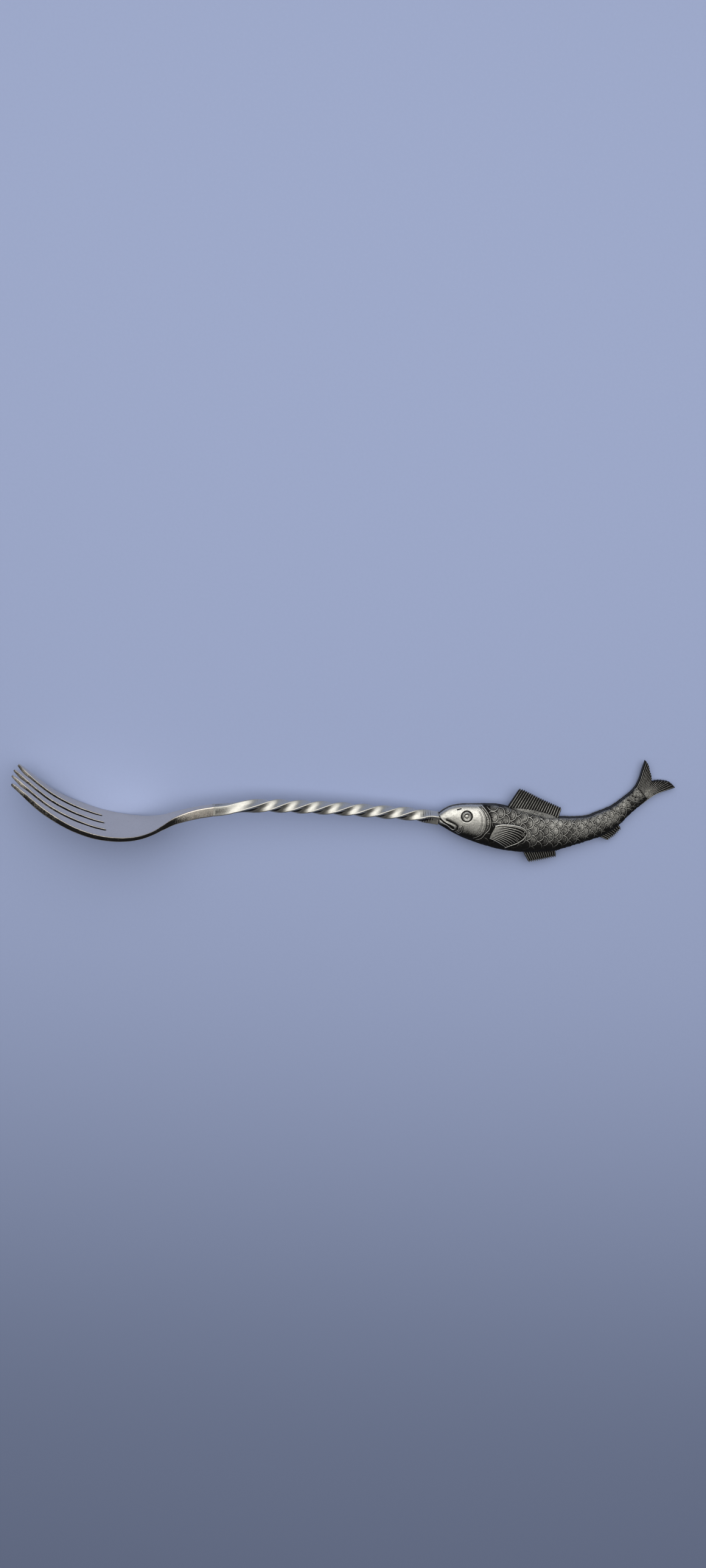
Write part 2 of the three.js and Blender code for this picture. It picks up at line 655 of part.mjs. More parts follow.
// A patch between four edges: root and free edge run across, the two sides run along the rays.
function patch({ rootShares, edgeShares, frontShares, backShares }) {
  const root = fishCurve(rootShares);
  const edge = fishCurve(edgeShares);
  const front = fishCurve(frontShares ?? [rootShares[0], edgeShares[0]]);
  const back = fishCurve(backShares ?? [rootShares.at(-1), edgeShares.at(-1)]);
  return (s, t) => {
    const ruled = root.getPointAt(s).lerp(edge.getPointAt(s), t);
    const sides = front.getPointAt(t).lerp(back.getPointAt(t), s);
    const ends = root.getPoint(0).lerp(root.getPoint(1), s);
    ends.lerp(edge.getPoint(0).lerp(edge.getPoint(1), s), t);
    return ruled.add(sides).sub(ends);
  };
}

// Fin with a ridge on every ray. The ray tips stand proud of the web between them.
function rayedFin(fin, rim, steps, heightOver) {
  const at = patch(fin);
  const across = fin.rays * 2;
  const pointAt = (s, t) => {
    const line = Math.round(s * across);
    const crest = line % 2 === 1;
    const point = at(s, t);
    const length = at(s, 0).distanceTo(at(s, 1));
    if (!crest && t === 1) point.copy(at(s, 1 - FIN_TOOTH / length));
    point.z = heightOver(point) + rim + (crest ? FIN_RAY_HEIGHT : 0);
    return point;
  };
  return toSolid(relief(across, steps, pointAt));
}

// Raised line along a path on the flank.
function ridge(shares, width = RIDGE_WIDTH, rise = RIDGE_HEIGHT) {
  const curve = fishCurve(shares);
  const steps = shares.length * RIDGE_STEPS;
  const rings = [];
  for (let step = 0; step <= steps; step += 1) {
    const at = curve.getPoint(step / steps);
    const tangent = curve.getTangent(step / steps);
    const aside = new THREE.Vector3(-tangent.y, tangent.x, 0).multiplyScalar(width / 2);
    const height = flankHeight(at);
    const crest = height + (step === 0 || step === steps ? rise / 2 : rise);
    const raised = (point, z) => new THREE.Vector3(point.x, point.y, z);
    rings.push([
      raised(at.clone().add(aside), height), raised(at, crest),
      raised(at.clone().sub(aside), height), raised(at, height - PIECE_SINK),
    ]);
  }
  return toSolid(facingOut(loft(rings)));
}

// Eye: a raised ring round a domed pupil, each turned on its own axis.
function eye() {
  const centre = fishPoint(EYE_SHARES);
  const height = flankHeight(centre);
  const turned = (profile) => {
    const points = profile.map(([radius, up]) => new THREE.Vector2(radius, up));
    const geometry = new THREE.LatheGeometry(points, EYE_SIDES);
    geometry.rotateX(Math.PI / 2);
    geometry.translate(centre.x, centre.y, height);
    return toSolid(facingOut(geometry));
  };
  const inner = EYE_RADIUS - EYE_RING;
  const outer = EYE_RADIUS + EYE_RING;
  const ring = turned([
    [inner, -PIECE_SINK], [outer, -PIECE_SINK], [outer, EYE_RING / 2], [EYE_RADIUS, EYE_RING],
    [inner, EYE_RING / 2], [inner, -PIECE_SINK],
  ]);
  const pupil = turned([
    [0, -PIECE_SINK], [PUPIL_RADIUS, -PIECE_SINK],
    ...PUPIL_SHARES.map(([across, up]) => [across * PUPIL_RADIUS, up * PUPIL_RADIUS]),
  ]);
  return ring.add(pupil);
}

// Body, fins and tail, still reaching through the middle plane of the fish.
function fishOutlines() {
  const onPlane = () => 0;
  let outline = body();
  for (const fin of [DORSAL, PELVIC, ANAL]) outline = outline.add(rayedFin(fin, FIN_RIM, 1, onPlane));
  for (const fin of [TAIL_UPPER, TAIL_LOWER]) {
    outline = outline.add(rayedFin(fin, TAIL_RIM, TAIL_LENGTH_STEPS, onPlane));
  }
  return outline.subtract(toSolid(
    tenonGeometry(TENON_RADIUS + TENON_CLEARANCE, TENON_LENGTH + PIECE_SINK + TENON_CLEARANCE),
  ));
}

// What lies between two heights over the middle plane.
function layer(solid, from, to) {
  const slab = new THREE.BoxGeometry(2 * FISH_LENGTH, 4 * FISH_DEPTH, to - from);
  slab.translate(FISH_START + FISH_LENGTH / 2, 0, (from + to) / 2);
  return solid.intersect(toSolid(slab));
}

function fishHalf(outline) {
  const details = [
    rayedFin(BREAST, BREAST_LIFT, BREAST_STEPS, flankHeight),
    ridge([...BREAST.frontShares, ...BREAST.edgeShares.slice(1)], BREAST_RIM, BREAST_RIM),
    ...GILL_SHARES.map((shares) => ridge(shares)),
    ridge(LIP_SHARES),
    eye(),
  ];
  const whole = details.reduce((joined, detail) => joined.add(detail), outline);
  const half = layer(whole, SEAM_THICKNESS / 2 + SEAM_CLEARANCE, 2 * FISH_CROWN);
  return toGeometry(withoutShortEdges(half, SHORTEST_EDGE));
}

// Sheet of solder between the two halves, with their outline.
function seamSolder(outline) {
  const sheet = layer(outline, -SEAM_THICKNESS / 2, SEAM_THICKNESS / 2);
  return named('fish_seam_solder', toGeometry(sheet), solderSilver);
}

const fork = new THREE.Group();
const outline = fishOutlines();
const half = fishHalf(outline);
fork.add(forkHead());
fork.add(neckSolder());
fork.add(twistedStem());
fork.add(mouthSolder());
fork.add(named('fish_near_half', half, castSilver));
fork.add(named('fish_far_half', mirrored(half), castSilver));
fork.add(seamSolder(outline));

fork.rotation.set(REST_ROLL, REST_PITCH, 0, 'YXZ');
fork.updateMatrixWorld(true);
const box = new THREE.Box3().setFromObject(fork, true);
const middle = box.getCenter(new THREE.Vector3());
fork.position.set(-middle.x, -middle.y, -box.min.z);

export default fork;
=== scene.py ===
"""Looks of a sardine fork with a twisted stem and a fish on its handle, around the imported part.

Shapes are drawn in millimetres in the fork's own frame: X from the tines to the tail, Y to the
hollow side of the head, Z across the head. place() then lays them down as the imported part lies.
"""

import math

import bmesh
import bpy
import numpy as np
from mathutils import Matrix, Vector, kdtree, noise


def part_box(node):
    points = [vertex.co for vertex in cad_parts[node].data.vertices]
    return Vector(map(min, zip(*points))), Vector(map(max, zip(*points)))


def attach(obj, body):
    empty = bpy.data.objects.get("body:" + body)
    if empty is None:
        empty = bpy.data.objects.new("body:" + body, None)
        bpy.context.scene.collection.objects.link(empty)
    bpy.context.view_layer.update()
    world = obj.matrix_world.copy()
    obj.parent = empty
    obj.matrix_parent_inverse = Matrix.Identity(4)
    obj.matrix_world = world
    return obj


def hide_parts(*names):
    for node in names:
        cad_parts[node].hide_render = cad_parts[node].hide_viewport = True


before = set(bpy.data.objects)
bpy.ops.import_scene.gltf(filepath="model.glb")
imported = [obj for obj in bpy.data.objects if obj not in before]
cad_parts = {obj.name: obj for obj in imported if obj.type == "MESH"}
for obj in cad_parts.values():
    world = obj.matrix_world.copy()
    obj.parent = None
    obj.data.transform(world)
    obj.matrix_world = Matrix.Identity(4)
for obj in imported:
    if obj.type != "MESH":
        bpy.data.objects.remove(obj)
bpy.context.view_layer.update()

# Rest on the table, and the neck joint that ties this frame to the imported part.
REST_ROLL = math.radians(1.82)
REST_PITCH = math.radians(3.78)
NECK_JOINT = np.array([-5.42, -1.125, 0.0])

# Head
HEAD_END = -5.5
HEAD_LENGTH = 41.6
HEAD_START = HEAD_END - HEAD_LENGTH
HEAD_HALF_WIDTH = 8.7
HEAD_DEPTH = 10.0
PLATE = 1.2
PLATE_CORNER = 0.2
BAR_SIDE = 2.25
BAR_CORNER = 0.32
FACE = [
    (0, 0.458), (0.026, 0.4), (0.075, 0.251), (0.123, 0.093), (0.171, -0.052), (0.219, -0.173),
    (0.267, -0.274), (0.315, -0.359), (0.363, -0.427), (0.411, -0.486), (0.459, -0.526),
    (0.507, -0.552), (0.555, -0.563), (0.603, -0.558), (0.651, -0.533), (0.7, -0.478),
    (0.748, -0.387), (0.796, -0.275), (0.844, -0.185), (0.892, -0.111), (0.94, -0.053), (1, 0),
]
THICKNESS = [
    (0, 0.34), (0.026, 0.6), (0.05, 0.7), (0.106, 0.9), (0.18, 1.02), (0.26, 0.98), (0.41, 0.95),
    (0.49, 0.9), (0.565, 0.85), (0.64, 0.77), (0.69, 0.72), (0.75, 0.75), (1, 0.75),
]
NECK_BLEND = [
    (0, 0), (0.7, 0), (0.75, 0.16), (0.79, 0.42), (0.827, 0.67), (0.87, 0.85), (0.91, 0.94),
    (0.96, 1), (1, 1),
]
KEEL = [(0, 0), (0.6, 0), (0.7, 0.7), (0.75, 1), (0.8, 0.6), (0.87, 0), (1, 0)]
KEEL_DEPTH = 0.3
WIDTH = [
    (0, 0.784), (0.075, 0.797), (0.123, 0.818), (0.171, 0.842), (0.219, 0.88), (0.267, 0.935),
    (0.315, 0.978), (0.363, 1), (0.411, 0.995), (0.459, 0.978), (0.507, 0.944), (0.555, 0.893),
    (0.603, 0.819), (0.651, 0.706), (0.7, 0.55), (0.748, 0.338), (0.796, 0.158), (0.844, 0.068),
    (0.892, 0.02), (0.94, 0), (1, 0),
]
SLOT_LENGTH = 18.9
SLOT_ENDS = [HEAD_START + SLOT_LENGTH * share for share in (0.975, 1.01, 1.04)]
SLOT_ROOT_PITCH = 4.35
SLOT_MOUTH_PITCH = 3.95
SLOT_ROOT_HALF = 0.5
SLOT_MOUTH_HALF = 0.975
TIP_LENGTH = 3.8
OUTER_SETBACK = 0.45
TIP_HALF = 0.3
TIP_SWELL = 0.35
FILED_FROM = -12.0
LAST_TINE = 3
HEAD_ROW_GAP = 0.012

# Stem
STEM_LENGTH = 47.6
NECK_GAP = 0.16
STEM_START = HEAD_END + NECK_GAP
STEM_POINTS = 430
STEM_STEP = STEM_LENGTH / (STEM_POINTS - 1)
STEM_AXIS = [
    (0, -0.5), (0.05, -0.34), (0.1, -0.1), (0.17, 0.133), (0.267, 0.267), (0.364, 0.32),
    (0.563, 0.356), (0.662, 0.324), (0.763, 0.289), (0.864, 0.253), (0.931, 0.133), (1, -0.013),
]
STEM_LOW = min(up for _, up in STEM_AXIS)
STEM_HIGH = max(up for _, up in STEM_AXIS)
TWIST_TURN = math.radians(794)
TWIST_END = 0.985
EASE_IN = 0.25
EASE_OUT = 0.05
TENON_RADIUS = 0.75
TENON_LENGTH = 5.0
TENON_HEIGHT = STEM_AXIS[-1][1] * BAR_SIDE

# Solder: places along the joint, and how far it stands proud of the bar there
NECK_SOLDER = [
    (-0.42, -0.05), (-0.3, -0.006), (-0.15, 0.002), (0.0, 0.004), (0.15, 0.002), (0.3, -0.006), (0.42, -0.05),
]
MOUTH_SOLDER = [
    (-0.36, -0.03), (-0.3, 0.012), (-0.2, 0.03), (-0.12, 0.055), (-0.06, 0.09), (-0.02, 0.12), (0.0, 0.1),
    (0.0, -0.03),
]
MOUTH_GAP = 0.02

# Fish
FISH_START = STEM_START + STEM_LENGTH
FISH_LENGTH = 51.0
FISH_DEPTH = 10.5
FISH_CROWN = 2.4
FLANK_ROUND = 2.3
HOLE_GAP = 0.06
BODY_RIM = 0.45
SEAM = 0.07
BODY = [
    (0, 0.1, 0.004, -0.115, 0.56), (0.02, 0.19, 0.024, -0.165, 0.64),
    (0.048, 0.272, 0.052, -0.235, 0.74), (0.083, 0.319, 0.087, -0.315, 0.86),
    (0.119, 0.34, 0.121, -0.38, 0.93), (0.178, 0.356, 0.176, -0.458, 1),
    (0.228, 0.363, 0.224, -0.515, 1), (0.264, 0.356, 0.262, -0.558, 1),
    (0.302, 0.319, 0.3, -0.58, 1), (0.377, 0.26, 0.37, -0.598, 0.99),
    (0.452, 0.19, 0.447, -0.572, 0.95), (0.508, 0.178, 0.512, -0.525, 0.9),
    (0.564, 0.182, 0.575, -0.41, 0.86), (0.602, 0.198, 0.619, -0.325, 0.82),
    (0.639, 0.23, 0.662, -0.242, 0.78), (0.674, 0.311, 0.699, -0.165, 0.74),
    (0.71, 0.396, 0.742, -0.03, 0.68), (0.744, 0.499, 0.781, 0.15, 0.6),
    (0.776, 0.641, 0.82, 0.38, 0.52), (0.808, 0.8, 0.853, 0.535, 0.46),
    (0.828, 0.94, 0.883, 0.69, 0.42),
]
FIN_RIM = 0.5
FIN_TAPER = 0.25
TOOTH = 0.34
WEB_SUNK = 0.25
TAIL_RIM = 0.78
DORSAL = {
    "rays": 20, "bevel": 1.3,
    "root": [(0.284, 0.28), (0.38, 0.2), (0.51, 0.13)],
    "edge": [(0.33, 0.725), (0.346, 0.71), (0.43, 0.54), (0.521, 0.374)],
}
PELVIC = {
    "rays": 14,
    "root": [(0.362, -0.48), (0.43, -0.46), (0.51, -0.43)],
    "edge": [(0.41, -0.835), (0.46, -0.77), (0.526, -0.68)],
}
ANAL = {
    "rays": 9,
    "root": [(0.664, -0.12), (0.712, -0.01), (0.763, 0.18)],
    "edge": [(0.739, -0.26), (0.767, -0.14), (0.79, 0.006)],
}
TAIL_UPPER = {
    "rays": 9, "tooth": 0.06,
    "root": [(0.794, 0.7), (0.83, 0.73), (0.86, 0.75)],
    "edge": [(0.85, 1.5), (0.864, 1.42), (0.876, 1.28), (0.885, 1.18), (0.89, 1.05)],
    "front": [(0.794, 0.7), (0.821, 0.88), (0.836, 1.08), (0.843, 1.3), (0.85, 1.5)],
    "back": [(0.86, 0.75), (0.874, 0.88), (0.89, 1.05)],
}
TAIL_LOWER = {
    "rays": 9, "tooth": 0.06,
    "root": [(0.86, 0.75), (0.86, 0.66), (0.857, 0.56)],
    "edge": [(0.89, 1.05), (0.915, 1.085), (0.94, 1.09), (0.97, 1.065), (0.996, 0.97)],
    "front": [(0.86, 0.75), (0.874, 0.88), (0.89, 1.05)],
    "back": [(0.857, 0.56), (0.886, 0.69), (0.92, 0.81), (0.962, 0.9), (0.996, 0.97)],
}
BREAST = {
    "rays": 11, "tooth": 0.0,
    "root": [(0.2347, -0.0178), (0.2218, -0.16), (0.2156, -0.2898)],
    "edge": [(0.374, -0.13), (0.3711, -0.1943), (0.3574, -0.289), (0.3338, -0.3761), (0.3148, -0.4223),
             (0.2906, -0.4895)],
    "front": [(0.2347, -0.0178), (0.267, 0.0178), (0.2969, 0.02), (0.3269, 0.0053), (0.3496, -0.0235),
              (0.3672, -0.0773), (0.374, -0.13)],
    "back": [(0.2156, -0.2898), (0.2473, -0.3608), (0.2776, -0.4523), (0.2906, -0.4895)],
}
BREAST_RISE = 0.5
BREAST_RIM = 0.17
EYE = (0.113, 0.1287)
EYE_RADIUS = 0.84
EYE_RING = 0.13
PUPIL_RADIUS = 0.45
EYE_HIGH = 0.17
GILLS = [
    [(0.1584, 0.2702), (0.1711, 0.1944), (0.1782, 0.1069), (0.1794, -0.0225), (0.1742, -0.1341),
     (0.1629, -0.2376)],
    [(0.1546, 0.3435), (0.1721, 0.2743), (0.1861, 0.1889), (0.1935, 0.0914), (0.1955, -0.0278),
     (0.1905, -0.1494), (0.1772, -0.2535), (0.1513, -0.3313)],
    [(0.1508, 0.3771), (0.1615, 0.3853), (0.1807, 0.3265), (0.1989, 0.2325), (0.2127, 0.117),
     (0.2157, -0.0019), (0.2125, -0.1129), (0.1997, -0.1969), (0.1846, -0.3116), (0.1641, -0.3678)],
]
LIPS = [
    (0.0028, 0.0926), (0.0079, 0.0443), (0.0274, -0.0297), (0.05, -0.0631), (0.0625, -0.0894),
    (0.0693, -0.1274), (0.0673, -0.168), (0.0626, -0.1794), (0.0543, -0.1618), (0.0434, -0.12),
    (0.0347, -0.0875), (0.0202, -0.0618), (0.0078, -0.0355),
]
MOUTH = [(0.0054, 0.0236), (0.0193, -0.0221), (0.0383, -0.0715), (0.0552, -0.1165), (0.0637, -0.144)]
CHEEK_HOLLOW = [(0.032, 0.02), (0.055, -0.02), (0.078, -0.085), (0.08, -0.15)]
NOSTRIL = [(0.072, 0.2465), (0.0796, 0.2587), (0.0872, 0.2709)]
WRINKLES = [
    [(0.0842, -0.1165), (0.0847, -0.1765), (0.0728, -0.22)],
    [(0.0897, -0.0949), (0.0923, -0.1642), (0.0794, -0.2481)],
    [(0.0931, -0.0739), (0.1005, -0.1318), (0.0982, -0.2026), (0.0858, -0.2663)],
]
SCALE_STEP = [(0, 1.3), (0.4, 1.3), (0.45, 1.1), (0.5, 1.0), (0.6, 0.95), (0.78, 0.9), (0.8, 0.6), (1, 0.5)]
SCALE_SIZE = [(0, 2.4), (0.5, 2.4), (0.76, 2.2), (0.79, 1.9), (0.81, 1.2), (1, 1.0)]
SCALE_SEED = 7
SCALES_ALL_ROUND = FISH_START + 0.24 * FISH_LENGTH
SCALE_SIDES = 34
# Rings of one scale from its middle out: radius, height and how bright the silver is
SCALE_RINGS = [
    (0.25, 0.083, 0.52), (0.45, 0.078, 0.52), (0.52, 0.071, 0.45), (0.58, 0.077, 0.54), (0.67, 0.064, 0.46),
    (0.75, 0.068, 0.5), (0.82, 0.01, 0.0), (0.86, 0.01, 0.05), (0.9, 0.11, 0.9), (0.955, 0.11, 0.9),
    (1.0, 0.0, 0.0), (1.0, -0.3, 0.0),
]

# In metres: the lowest place of the parts that touch the table, and half a side of the paper
WORN_FLAT = 0.00001
PAPER_HALF = 1.5

# Picture, in pixels
LENS_PIXELS = 2600
PICTURE_HEIGHT = 2576

OXIDE = (0.012, 0.0115, 0.011, 1.0)


# Shapes as numbers


def place(points):
    """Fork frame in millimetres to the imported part's frame in metres."""
    low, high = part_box("neck_solder")
    joint = np.array((low + high) / 2)
    turn = np.array(Matrix.Rotation(REST_PITCH, 3, "Y") @ Matrix.Rotation(REST_ROLL, 3, "X"))
    return np.asarray(points, float).reshape(-1, 3) @ turn.T / 1000 + joint - turn @ NECK_JOINT / 1000


def run_along(points):
    """The distance from the first point to each, along the line."""
    return np.concatenate([[0], np.cumsum(np.linalg.norm(np.diff(points, axis=0), axis=1))])


def spline(points, count=None, at=None):
    """Even points on a smooth curve through the given ones, or the points at the shares in `at`."""
    p = np.asarray(points, float)
    if len(p) > 2:
        ends = np.vstack([2 * p[0] - p[1], p, 2 * p[-1] - p[-2]])
        knots = np.concatenate([[0], np.cumsum(np.sqrt(np.linalg.norm(np.diff(ends, axis=0), axis=1)))])
        dense = []
        for i in range(1, len(ends) - 2):
            t0, t1, t2, t3 = knots[i - 1:i + 3]
            t = np.linspace(t1, t2, 25)[:-1, None]
            a1 = (t1 - t) / (t1 - t0) * ends[i - 1] + (t - t0) / (t1 - t0) * ends[i]
            a2 = (t2 - t) / (t2 - t1) * ends[i] + (t - t1) / (t2 - t1) * ends[i + 1]
            a3 = (t3 - t) / (t3 - t2) * ends[i + 1] + (t - t2) / (t3 - t2) * ends[i + 2]
            b1 = (t2 - t) / (t2 - t0) * a1 + (t - t0) / (t2 - t0) * a2
            b2 = (t3 - t) / (t3 - t1) * a2 + (t - t1) / (t3 - t1) * a3
            dense.append((t2 - t) / (t2 - t1) * b1 + (t - t1) / (t2 - t1) * b2)
        p = np.vstack(dense + [p[-1:]])
    run = run_along(p)
    shares = np.linspace(0, 1, count) if at is None else np.asarray(at, float)
    return np.stack([np.interp(shares * run[-1], run, column) for column in p.T], -1)


def follow(rows, at):
    """The columns of a table, followed smoothly from the first row at 0 to the last at 1."""
    rows = np.asarray(rows, float)
    dense = spline(np.column_stack([np.arange(len(rows)), rows]), 2400)
    places = np.asarray(at, float) * (len(rows) - 1)
    return np.stack([np.interp(places, dense[:, 0], column) for column in dense.T[1:]], -1)


def table(rows, at):
    """A smooth function through the rows of a table, at any places."""
    dense = spline(rows, 900)
    return np.interp(at, dense[:, 0], dense[:, 1])


def search_tree(points):
    """A tree that finds the nearest of some points in the fork's side view."""
    tree = kdtree.KDTree(len(points))
    for i, (x, y) in enumerate(points[:, :2]):
        tree.insert((x, y, 0), i)
    tree.balance()
    return tree


def distances(points, line):
    """Distance from each point to the nearest of a line's points, in the fork's side view."""
    tree = search_tree(line)
    return np.array([tree.find((x, y, 0))[2] for x, y in points[:, :2]])


def signed(points, line):
    """Distance from a line in the side view, positive on the tail side, and the share along it."""
    tree = search_tree(line)
    tangent = np.gradient(line[:, :2], axis=0)
    out = np.empty((len(points), 2))
    for k, (x, y) in enumerate(points[:, :2]):
        near, i, off = tree.find((x, y, 0))
        turn = tangent[i][0] * (y - near.y) - tangent[i][1] * (x - near.x)
        out[k] = math.copysign(off, turn), i / (len(line) - 1)
    return out.T


def bumps(points, scale, seed):
    """Smooth random heights between about -1 and 1."""
    return np.array([noise.noise(Vector(p) / scale + Vector((seed, 0, 0))) for p in points])


def hump(value, width):
    """1 at zero, falling smoothly to nothing about twice the width away."""
    return np.exp(-(np.asarray(value) / width) ** 2)


def end_fade(share, length):
    """1 along a line, falling to 0 over a share of its length at each end."""
    return np.clip(share / length, 0, 1) * np.clip((1 - share) / length, 0, 1)


# Faces and meshes


def quads(rows, columns, first=0, flip=False):
    """Faces of a grid of points, in rows."""
    r, c = np.meshgrid(np.arange(rows - 1), np.arange(columns - 1), indexing="ij")
    a = first + r * columns + c
    faces = np.stack([a, a + 1, a + columns + 1, a + columns], -1).reshape(-1, 4)
    return faces[:, ::-1] if flip else faces


def around(grid):
    """The outer points of a grid, in order."""
    return np.concatenate([grid[0, :-1], grid[:-1, -1], grid[-1, :0:-1], grid[:0:-1, 0]])


def walls(border, step, closed=True):
    """Faces that join each border point to the one `step` places later."""
    after = np.roll(border, -1) if closed else border[1:]
    border = border if closed else border[:-1]
    return np.stack([border, after, after + step, border + step], -1)


def hoops(rings, sides, closed=True):
    """Faces between rings of points, each ring joined to the next, and the last to the first if closed."""
    index = np.arange(rings * sides).reshape(rings, sides)
    above = np.roll(index, -1, axis=0)
    if not closed:
        index, above = index[:-1], above[:-1]
    return np.stack([index, np.roll(index, -1, axis=1), np.roll(above, -1, axis=1), above], -1).reshape(-1, 4)


def mesh_object(name, mesh):
    obj = bpy.data.objects.new(name, mesh)
    bpy.context.scene.collection.objects.link(obj)
    return obj


def new_mesh(name, points, faces, attributes=None, edges=(), weld=0.0):
    """A mesh in the fork frame, in millimetres. A mesh with faces gets them turned out."""
    mesh = bpy.data.meshes.new(name)
    points = np.asarray(points, float).reshape(-1, 3)
    mesh.from_pydata(points.tolist(), [list(map(int, e)) for e in edges], [list(map(int, f)) for f in faces])
    for key, values in (attributes or {}).items():
        layer = mesh.attributes.new(key, "FLOAT", "POINT")
        layer.data.foreach_set("value", np.asarray(values, np.float32))
    if len(faces):
        work = bmesh.new()
        work.from_mesh(mesh)
        bmesh.ops.delete(work, geom=[v for v in work.verts if not v.link_faces], context="VERTS")
        if weld:
            bmesh.ops.remove_doubles(work, verts=work.verts, dist=weld)
        bmesh.ops.recalc_face_normals(work, faces=work.faces)
        if work.calc_volume(signed=True) < 0:
            bmesh.ops.reverse_faces(work, faces=work.faces)
        work.to_mesh(mesh)
        work.free()
        mesh.shade_smooth()
    return mesh


def numbers(items, key, width=1):
    """One value, or one row of values, for each of a mesh's points."""
    values = np.empty(len(items) * width, np.float32)
    items.foreach_get(key, values)
    return values if width == 1 else values.reshape(-1, width)


def lay_down(mesh):
    """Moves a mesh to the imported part's frame, and flattens what would stand below the table."""
    points = place(numbers(mesh.vertices, "co", 3))
    points[:, 2] = np.maximum(points[:, 2], WORN_FLAT)
    mesh.vertices.foreach_set("co", points.ravel())
    mesh.update()


def mirrored(mesh, name):
    """The same mesh on the other side of the middle plane, in the fork frame."""
    copy = mesh.copy()
    copy.name = name
    work = bmesh.new()
    work.from_mesh(copy)
    for vert in work.verts:
        vert.co.z = -vert.co.z
    bmesh.ops.reverse_faces(work, faces=work.faces)
    work.to_mesh(copy)
    work.free()
    return copy


def node_mesh(name, base, tree, **values):
    """The plain mesh that a node tree makes of a base mesh, with its inputs set by name."""
    host = mesh_object(name, base)
    modifier = host.modifiers.new("nodes", "NODES")
    modifier.node_group = tree
    for socket in tree.interface.items_tree:
        key = socket.name.replace(" ", "_")
        if socket.in_out == "INPUT" and key in values:
            modifier[socket.identifier] = values[key]
    host.update_tag()
    depsgraph = bpy.context.evaluated_depsgraph_get()
    made = bpy.data.meshes.new_from_object(
        host.evaluated_get(depsgraph), preserve_all_data_layers=True, depsgraph=depsgraph)
    made.name = name
    bpy.data.objects.remove(host)
    made.shade_smooth()
    return made


# Node trees

GEOMETRY = "NodeSocketGeometry"
MATERIAL = "NodeSocketMaterial"
OBJECT = "NodeSocketObject"
SOCKET_OF = {float: "NodeSocketFloat", int: "NodeSocketInt"}


class Value:
    """A node's output. Sums written with it add math nodes to its tree."""

    def __init__(self, tree, socket):
        self.tree = tree
        self.socket = socket

    def __add__(self, other):
        return self.tree.math("ADD", self, other)

    def __sub__(self, other):
        return self.tree.math("SUBTRACT", self, other)

    def __rsub__(self, other):
        return self.tree.math("SUBTRACT", other, self)

    def __mul__(self, other):
        return self.tree.math("MULTIPLY", self, other)

    def __truediv__(self, other):
        return self.tree.math("DIVIDE", self, other)

    def __pow__(self, other):
        return self.tree.math("POWER", self, other)

    def __abs__(self):
        return self.tree.math("ABSOLUTE", self)

    def at_most(self, other):
        return self.tree.math("MINIMUM", self, other)

    def at_least(self, other):
        return self.tree.math("MAXIMUM", self, other)


class Nodes:
    """A node tree whose nodes are added and joined by short calls."""

    def __init__(self, tree):
        self.tree = tree

    def node(self, kind, settings=None, **inputs):
        """A node with its settings, and each input given a value or joined to a socket."""
        node = self.tree.nodes.new(kind)
        for key, value in (settings or {}).items():
            setattr(node, key, value)
        for key, value in inputs.items():
            numbered = key[1:].isdigit()
            self.put(node.inputs[int(key[1:]) if numbered else key.replace("_", " ")], value)
        return node

    def out(self, node):
        """The first output that a node has with its settings."""
        return Value(self, next(socket for socket in node.outputs if socket.enabled))

    def put(self, socket, value):
        if isinstance(value, bpy.types.Node):
            value = self.out(value)
        if isinstance(value, Value):
            value = value.socket
        if isinstance(value, bpy.types.NodeSocket):
            self.tree.links.new(value, socket)
        else:
            socket.default_value = value

    def math(self, operation, *values):
        inputs = {f"i{k}": value for k, value in enumerate(values)}
        return self.out(self.node("ShaderNodeMath", {"operation": operation}, **inputs))

    def vector(self, operation, first, *second, **more):
        """Vector arithmetic on one or two vectors."""
        inputs = {f"i{k}": value for k, value in enumerate((first,) + second)}
        return self.out(self.node("ShaderNodeVectorMath", {"operation": operation}, **inputs, **more))

    def smooth(self, value, low, high, to_low=0.0, to_high=1.0):
        """A smooth step from one value to another."""
        return self.out(self.node("ShaderNodeMapRange", {"interpolation_type": "SMOOTHSTEP"}, i0=value,
                                  i1=low, i2=high, i3=to_low, i4=to_high))

    def mix(self, factor, low, high, kind="RGBA"):
        node = self.node("ShaderNodeMix", {"data_type": kind})
        sockets = [socket for socket in node.inputs if socket.enabled]
        for socket, value in zip(sockets, (factor, low, high)):
            self.put(socket, value)
        return self.out(node)

    def split(self, vector):
        """The three parts of a vector."""
        return [Value(self, socket) for socket in self.node("ShaderNodeSeparateXYZ", i0=vector).outputs]

    def noise(self, scale, detail, roughness=0.5, **more):
        """Smooth noise between 0 and 1. A seed W makes it four-dimensional."""
        return self.out(self.node("ShaderNodeTexNoise", {"noise_dimensions": "4D" if "W" in more else "3D"},
                                  Scale=scale, Detail=detail, Roughness=roughness, **more))

    def store(self, geometry, name, value):
        return self.node("GeometryNodeStoreNamedAttribute", {"data_type": "FLOAT", "domain": "POINT"},
                         Geometry=geometry, Name=name, Value=value)

    def stored(self, name):
        return self.out(self.node("GeometryNodeInputNamedAttribute", {"data_type": "FLOAT"}, Name=name))


